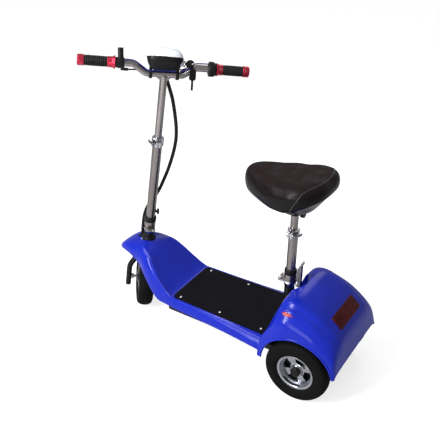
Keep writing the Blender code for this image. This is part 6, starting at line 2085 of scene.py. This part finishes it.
@dataclass
class Saddle:
    """The padded saddle: a cloth-swollen cushion, its welt and stitches, and its base."""

    shop: Workshop
    voxel: float = 0.0045
    cap: float = 0.005
    pressure: float = 4.0
    frames: int = 20
    evening: int = 24
    nose: float = 0.1785
    tail: float = 0.1205
    half_width: float = 0.1290
    inset: float = 0.100
    foot: Point = (0.0, 0.235, 0.6258)
    tuck: float = 0.046
    levels: tuple[tuple[float, float, float, float], ...] = (
        (0.475, 0.0000, 0.00, 0.00), (0.70, 0.0070, 0.00, 0.75), (0.85, 0.0140, 0.05, 1.00),
        (0.94, 0.0240, 0.15, 0.85), (0.981, 0.0365, 0.35, 0.55), (1.00, 0.0520, 0.65, 0.25),
        (1.004, 0.0670, 0.95, 0.06), (0.987, 0.0810, 1.00, 0.00), (0.935, 0.0925, 1.00, 0.00),
        (0.855, 0.0995, 1.00, 0.00), (0.740, 0.1030, 1.00, 0.00), (0.550, 0.1035, 1.00, 0.00),
        (0.250, 0.1025, 1.00, 0.00),
    )
    refine: int = 6

    def point(self, angle: float, row: Sequence[float]) -> Vector:
        """A point of the cushion's skin.

        Args:
            angle: The way round the plan, from the left side to the tail.
            row: One level: its plan's size, height, climb and tuck.

        Returns:
            The point in the vehicle's frame.
        """
        grow, height, climb, tuck = row
        along, across = math.sin(angle), math.cos(angle)
        corner = 0.77 - 0.11 * math.tanh(along * 8)
        square = math.copysign(abs(across) ** corner, across)
        narrow = 0.80 + 0.20 * math.sin(math.pi / 2 * max(-1.0, min(1.0, along * 1.35 + 0.28)))
        x = (self.half_width - (1 - grow) * self.inset) * square * narrow
        reach = (self.nose + self.tail) / 2 - (1 - grow) * self.inset
        y = (self.tail - self.nose) / 2 + reach * math.copysign(abs(along) ** (corner + 0.06), along)
        share = (y + self.nose) / (self.nose + self.tail)
        dish = -0.007 - 0.017 * share + 0.037 * share**2
        lift = self.tuck * max(0.0, y / self.tail) ** 1.15
        return Vector(self.foot) + Vector((x, y, height + dish * climb + lift * tuck))

    def cushion(self) -> Piece:
        """The cushion, remeshed and swollen by a short cloth run.

        Returns:
            The cushion.
        """
        rows = spline(self.levels, self.refine)
        turns = [math.tau * step / 120 for step in range(120)]
        piece = loft("saddle_pad", [[self.point(turn, row) for turn in turns] for row in rows])
        remesh = piece.modifiers.new("remesh", "REMESH")
        remesh.mode = "VOXEL"
        remesh.voxel_size = self.voxel
        even = piece.modifiers.new("even", "SMOOTH")
        even.factor = 0.5
        even.iterations = 2
        baked(piece)
        self.swell(piece)
        finer = piece.modifiers.new("finer", "SUBSURF")
        finer.levels = 1
        finer.render_levels = 1
        baked(piece)
        return piece

    def seam_line(self, surface: BVHTree) -> tuple[list[Vector], list[Vector]]:
        """The rear welt's route on the swollen cushion, and its normals.

        Args:
            surface: The cushion's surface.

        Returns:
            The route's points, and the surface's normal at each.
        """
        rows = spline(self.levels, self.refine)
        marks = [(17, 1.6), (19, 3.0), (22, 4.6), (27, 6.2), (34, 7.8), (44, 8.8), (56, 9.3), (72, 9.5)]
        marks += [(90, 9.5)] + [(180 - turn, level) for turn, level in reversed(marks)]
        guide = []
        for turn, level in marks:
            guide.append(self.point(math.radians(turn), rows[round(level * self.refine)]))
        line, normals = [], []
        for mark in curve(guide, 260):
            near, normal, _, _ = surface.find_nearest(mark)
            line.append(near)
            normals.append(normal)
        return line, normals

    def stitches(self, line: Sequence[Vector], normals: Sequence[Vector], surface: BVHTree) -> Piece:
        """A row of stitches beside the welt.

        Args:
            line: The welt's route.
            normals: The surface's normals along it.
            surface: The cushion's surface.

        Returns:
            All the stitches as one piece.
        """
        threads = []
        for number in range(4, len(line) - 6, 3):
            way = (line[number + 1] - line[number]).normalized()
            side = normals[number].cross(way).normalized() * 0.0045
            ends = []
            for share in (0.0, 0.5, 1.0):
                along = line[number].lerp(line[number + 2], share * 0.72)
                near, normal, _, _ = surface.find_nearest(along + side)
                ends.append(near + normal * (0.0003 * math.sin(math.pi * share)))
            threads.append(tube("thread", ends, 0.00045, 6))
        return joined("saddle_stitches", threads)

    def swell(self, piece: Piece) -> None:
        """Swell the cushion with air pressure, and cap how far it moves.

        Args:
            piece: The cushion.
        """
        rest = [vertex.co.copy() for vertex in piece.data.vertices]
        lowest = min(point.z for point in rest)
        held = piece.vertex_groups.new(name="held")
        for vertex in piece.data.vertices:
            weight = max(0.0, 1.0 - (vertex.co.z - lowest) / 0.020)
            held.add([vertex.index], weight, "REPLACE")
        cloth = piece.modifiers.new("cloth", "CLOTH")
        settings = cloth.settings
        settings.quality = 5
        settings.mass = 0.2
        settings.tension_stiffness = 18
        settings.compression_stiffness = 18
        settings.shear_stiffness = 6
        settings.bending_stiffness = 2.0
        settings.use_pressure = True
        settings.uniform_pressure_force = self.pressure
        settings.effector_weights.gravity = 0.0
        settings.vertex_group_mass = "held"
        cloth.collision_settings.use_collision = False
        cloth.point_cache.frame_start = 1
        cloth.point_cache.frame_end = self.frames
        scene = bpy.context.scene
        for number in range(1, self.frames + 1):
            scene.frame_set(number)
        graph = bpy.context.evaluated_depsgraph_get()
        swollen = piece.evaluated_get(graph).to_mesh()
        moved = [vertex.co.copy() for vertex in swollen.vertices]
        piece.evaluated_get(graph).to_mesh_clear()
        piece.modifiers.clear()
        ways = [end - start for start, end in zip(rest, moved)]
        links: list[list[int]] = [[] for _ in rest]
        for edge in piece.data.edges:
            first, second = edge.vertices
            links[first].append(second)
            links[second].append(first)
        for _ in range(self.evening):
            ways = [
                (way + sum((ways[other] for other in near), Vector())) / (len(near) + 1)
                for way, near in zip(ways, links)
            ]
        for vertex, start, way in zip(piece.data.vertices, rest, ways):
            if way.length > self.cap:
                way *= self.cap / way.length
            vertex.co = start + way
        scene.frame_set(1)

    def build(self) -> None:
        """Build the cushion with its seams, and dress the base."""
        pad = self.cushion()
        surface = self.shop.surface(pad)
        line, normals = self.seam_line(surface)
        route = [point + normal * 0.0002 for point, normal in zip(line, normals)]
        welt = tube("saddle_welt", route, 0.0014, 12)
        thread = self.stitches(line, normals, surface)
        self.shop.mount(pad, Finishes.VINYL, "saddle", ["saddle_cushion"], sharp=80)
        self.shop.mount(welt, Finishes.PIPING, "saddle", sharp=70)
        self.shop.mount(thread, Finishes.THREAD, "saddle", sharp=70)
        self.shop.dress("saddle_pan", Finishes.BLACK_PLASTIC, 0.0008)


# Studio


@dataclass
class Studio:
    """The floor, the lamps and the camera."""

    lens: float = 691.27 / 440 * 36
    eye: Point = (1.7526, 1.0389, 1.6619)
    right: Point = (-0.5324, 0.8464, 0.0133)
    up: Point = (-0.4165, -0.2756, 0.8663)
    back: Point = (0.7369, 0.4557, 0.4993)
    floor_half: float = 15.0
    floor_tone: float = 0.62
    floor_glow: float = 0.68
    fill: float = 0.46
    white: tuple[float, float, float, float] = (1.0, 1.0, 1.0, 1.0)
    lamps: tuple[tuple[str, Point, Pair, float, Point], ...] = (
        ("key strip", (2.3, -0.9, 2.0), (0.50, 2.2), 100, (0, 0, 0.3)),
        ("top box", (0.75, -1.1, 2.4), (0.5, 1.0), 14, (0, 0.2, 0.6)),
        ("side box", (3.0, 0.2, 0.9), (1.2, 0.8), 14, (0, 0, 0.25)),
        ("right box", (-2.6, -0.4, 2.4), (1.2, 1.2), 10, (0, 0, 0.4)),
    )

    def camera(self) -> None:
        """Place the camera at the photograph's view."""
        data = bpy.data.cameras.new("camera")
        data.sensor_width = 36.0
        data.lens = self.lens
        data.clip_end = 60.0
        camera = linked("camera", data)
        place = Matrix((self.right, self.up, self.back)).transposed().to_4x4()
        place.translation = Vector(self.eye)
        camera.matrix_world = place
        bpy.context.scene.camera = camera

    def floor(self) -> None:
        """Lay the pale floor, which keeps the shadow."""
        data = bpy.data.meshes.new("floor")
        half = self.floor_half
        corners = [(-half, -half, 0), (half, -half, 0), (half, half, 0), (-half, half, 0)]
        data.from_pydata(corners, [], [(0, 1, 2, 3)])
        floor = linked("floor", data)
        material = bpy.data.materials.new("pale floor")
        material.use_nodes = True
        web = Wiring(material.node_tree)
        glow = web.math("MULTIPLY", web.add("LightPath").outputs["Is Camera Ray"], self.floor_glow)
        tone = (self.floor_tone, self.floor_tone, self.floor_tone, 1.0)
        looks = {"Base Color": tone, "Roughness": 0.9, "Specular IOR Level": 0.1}
        shine = {"Emission Color": self.white, "Emission Strength": glow}
        web.feed(web.tree.nodes["Principled BSDF"], looks | shine)
        data.materials.append(material)

    @staticmethod
    def lamp(name: str, place: Point, size: Pair, power: float, aim: Point) -> None:
        """Hang one soft box.

        Args:
            name: The lamp's name.
            place: Where it hangs.
            size: Its two sides.
            power: Its power in watts.
            aim: The point that it faces.
        """
        data = bpy.data.lights.new(name, "AREA")
        data.shape = "RECTANGLE"
        data.size, data.size_y = size
        data.energy = power
        lamp = linked(name, data)
        lamp.location = place
        lamp.rotation_mode = "QUATERNION"
        lamp.rotation_quaternion = (Vector(place) - Vector(aim)).to_track_quat("Z", "Y")

    def sky(self) -> None:
        """The even light round the object, white to the camera and through clear pieces."""
        world = bpy.data.worlds.new("studio")
        bpy.context.scene.world = world
        world.use_nodes = True
        web = Wiring(world.node_tree)
        path = web.add("LightPath").outputs
        seen = web.math("MAXIMUM", path["Is Camera Ray"], path["Is Transmission Ray"])
        level = web.add("MapRange", {"Value": seen, "To Min": self.fill, "To Max": 1.0}).outputs["Result"]
        web.feed(web.tree.nodes["Background"], {"Color": self.white, "Strength": level})

    def build(self) -> None:
        """Set the whole studio up."""
        self.camera()
        self.floor()
        for lamp in self.lamps:
            self.lamp(*lamp)
        self.sky()
        bpy.context.scene.view_settings.view_transform = "Standard"


def main() -> None:
    """Build every group in order."""
    logging.basicConfig(level=logging.INFO, format="%(name)s: %(message)s")
    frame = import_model()
    shop = Workshop(frame)
    Studio().build()
    FrontMoulding(shop).build()
    RearHood(shop).build()
    DeckTop(shop).build()
    shop.dress("belly_pan", Finishes.BLACK_PLASTIC, 0.0008)
    shop.dress("battery_pack", Finishes.BATTERY, 0.0006)
    shop.dress("controller", Finishes.STEEL, 0.0004)
    RearWheel(shop, "left").build()
    RearWheel(shop, "right").build()
    FrontWheel(shop).build()
    Column(shop).build()
    Cockpit(shop).build()
    Looms(shop).build()
    SeatPost(shop).build()
    Saddle(shop).build()


if __name__ == "__main__":
    main()
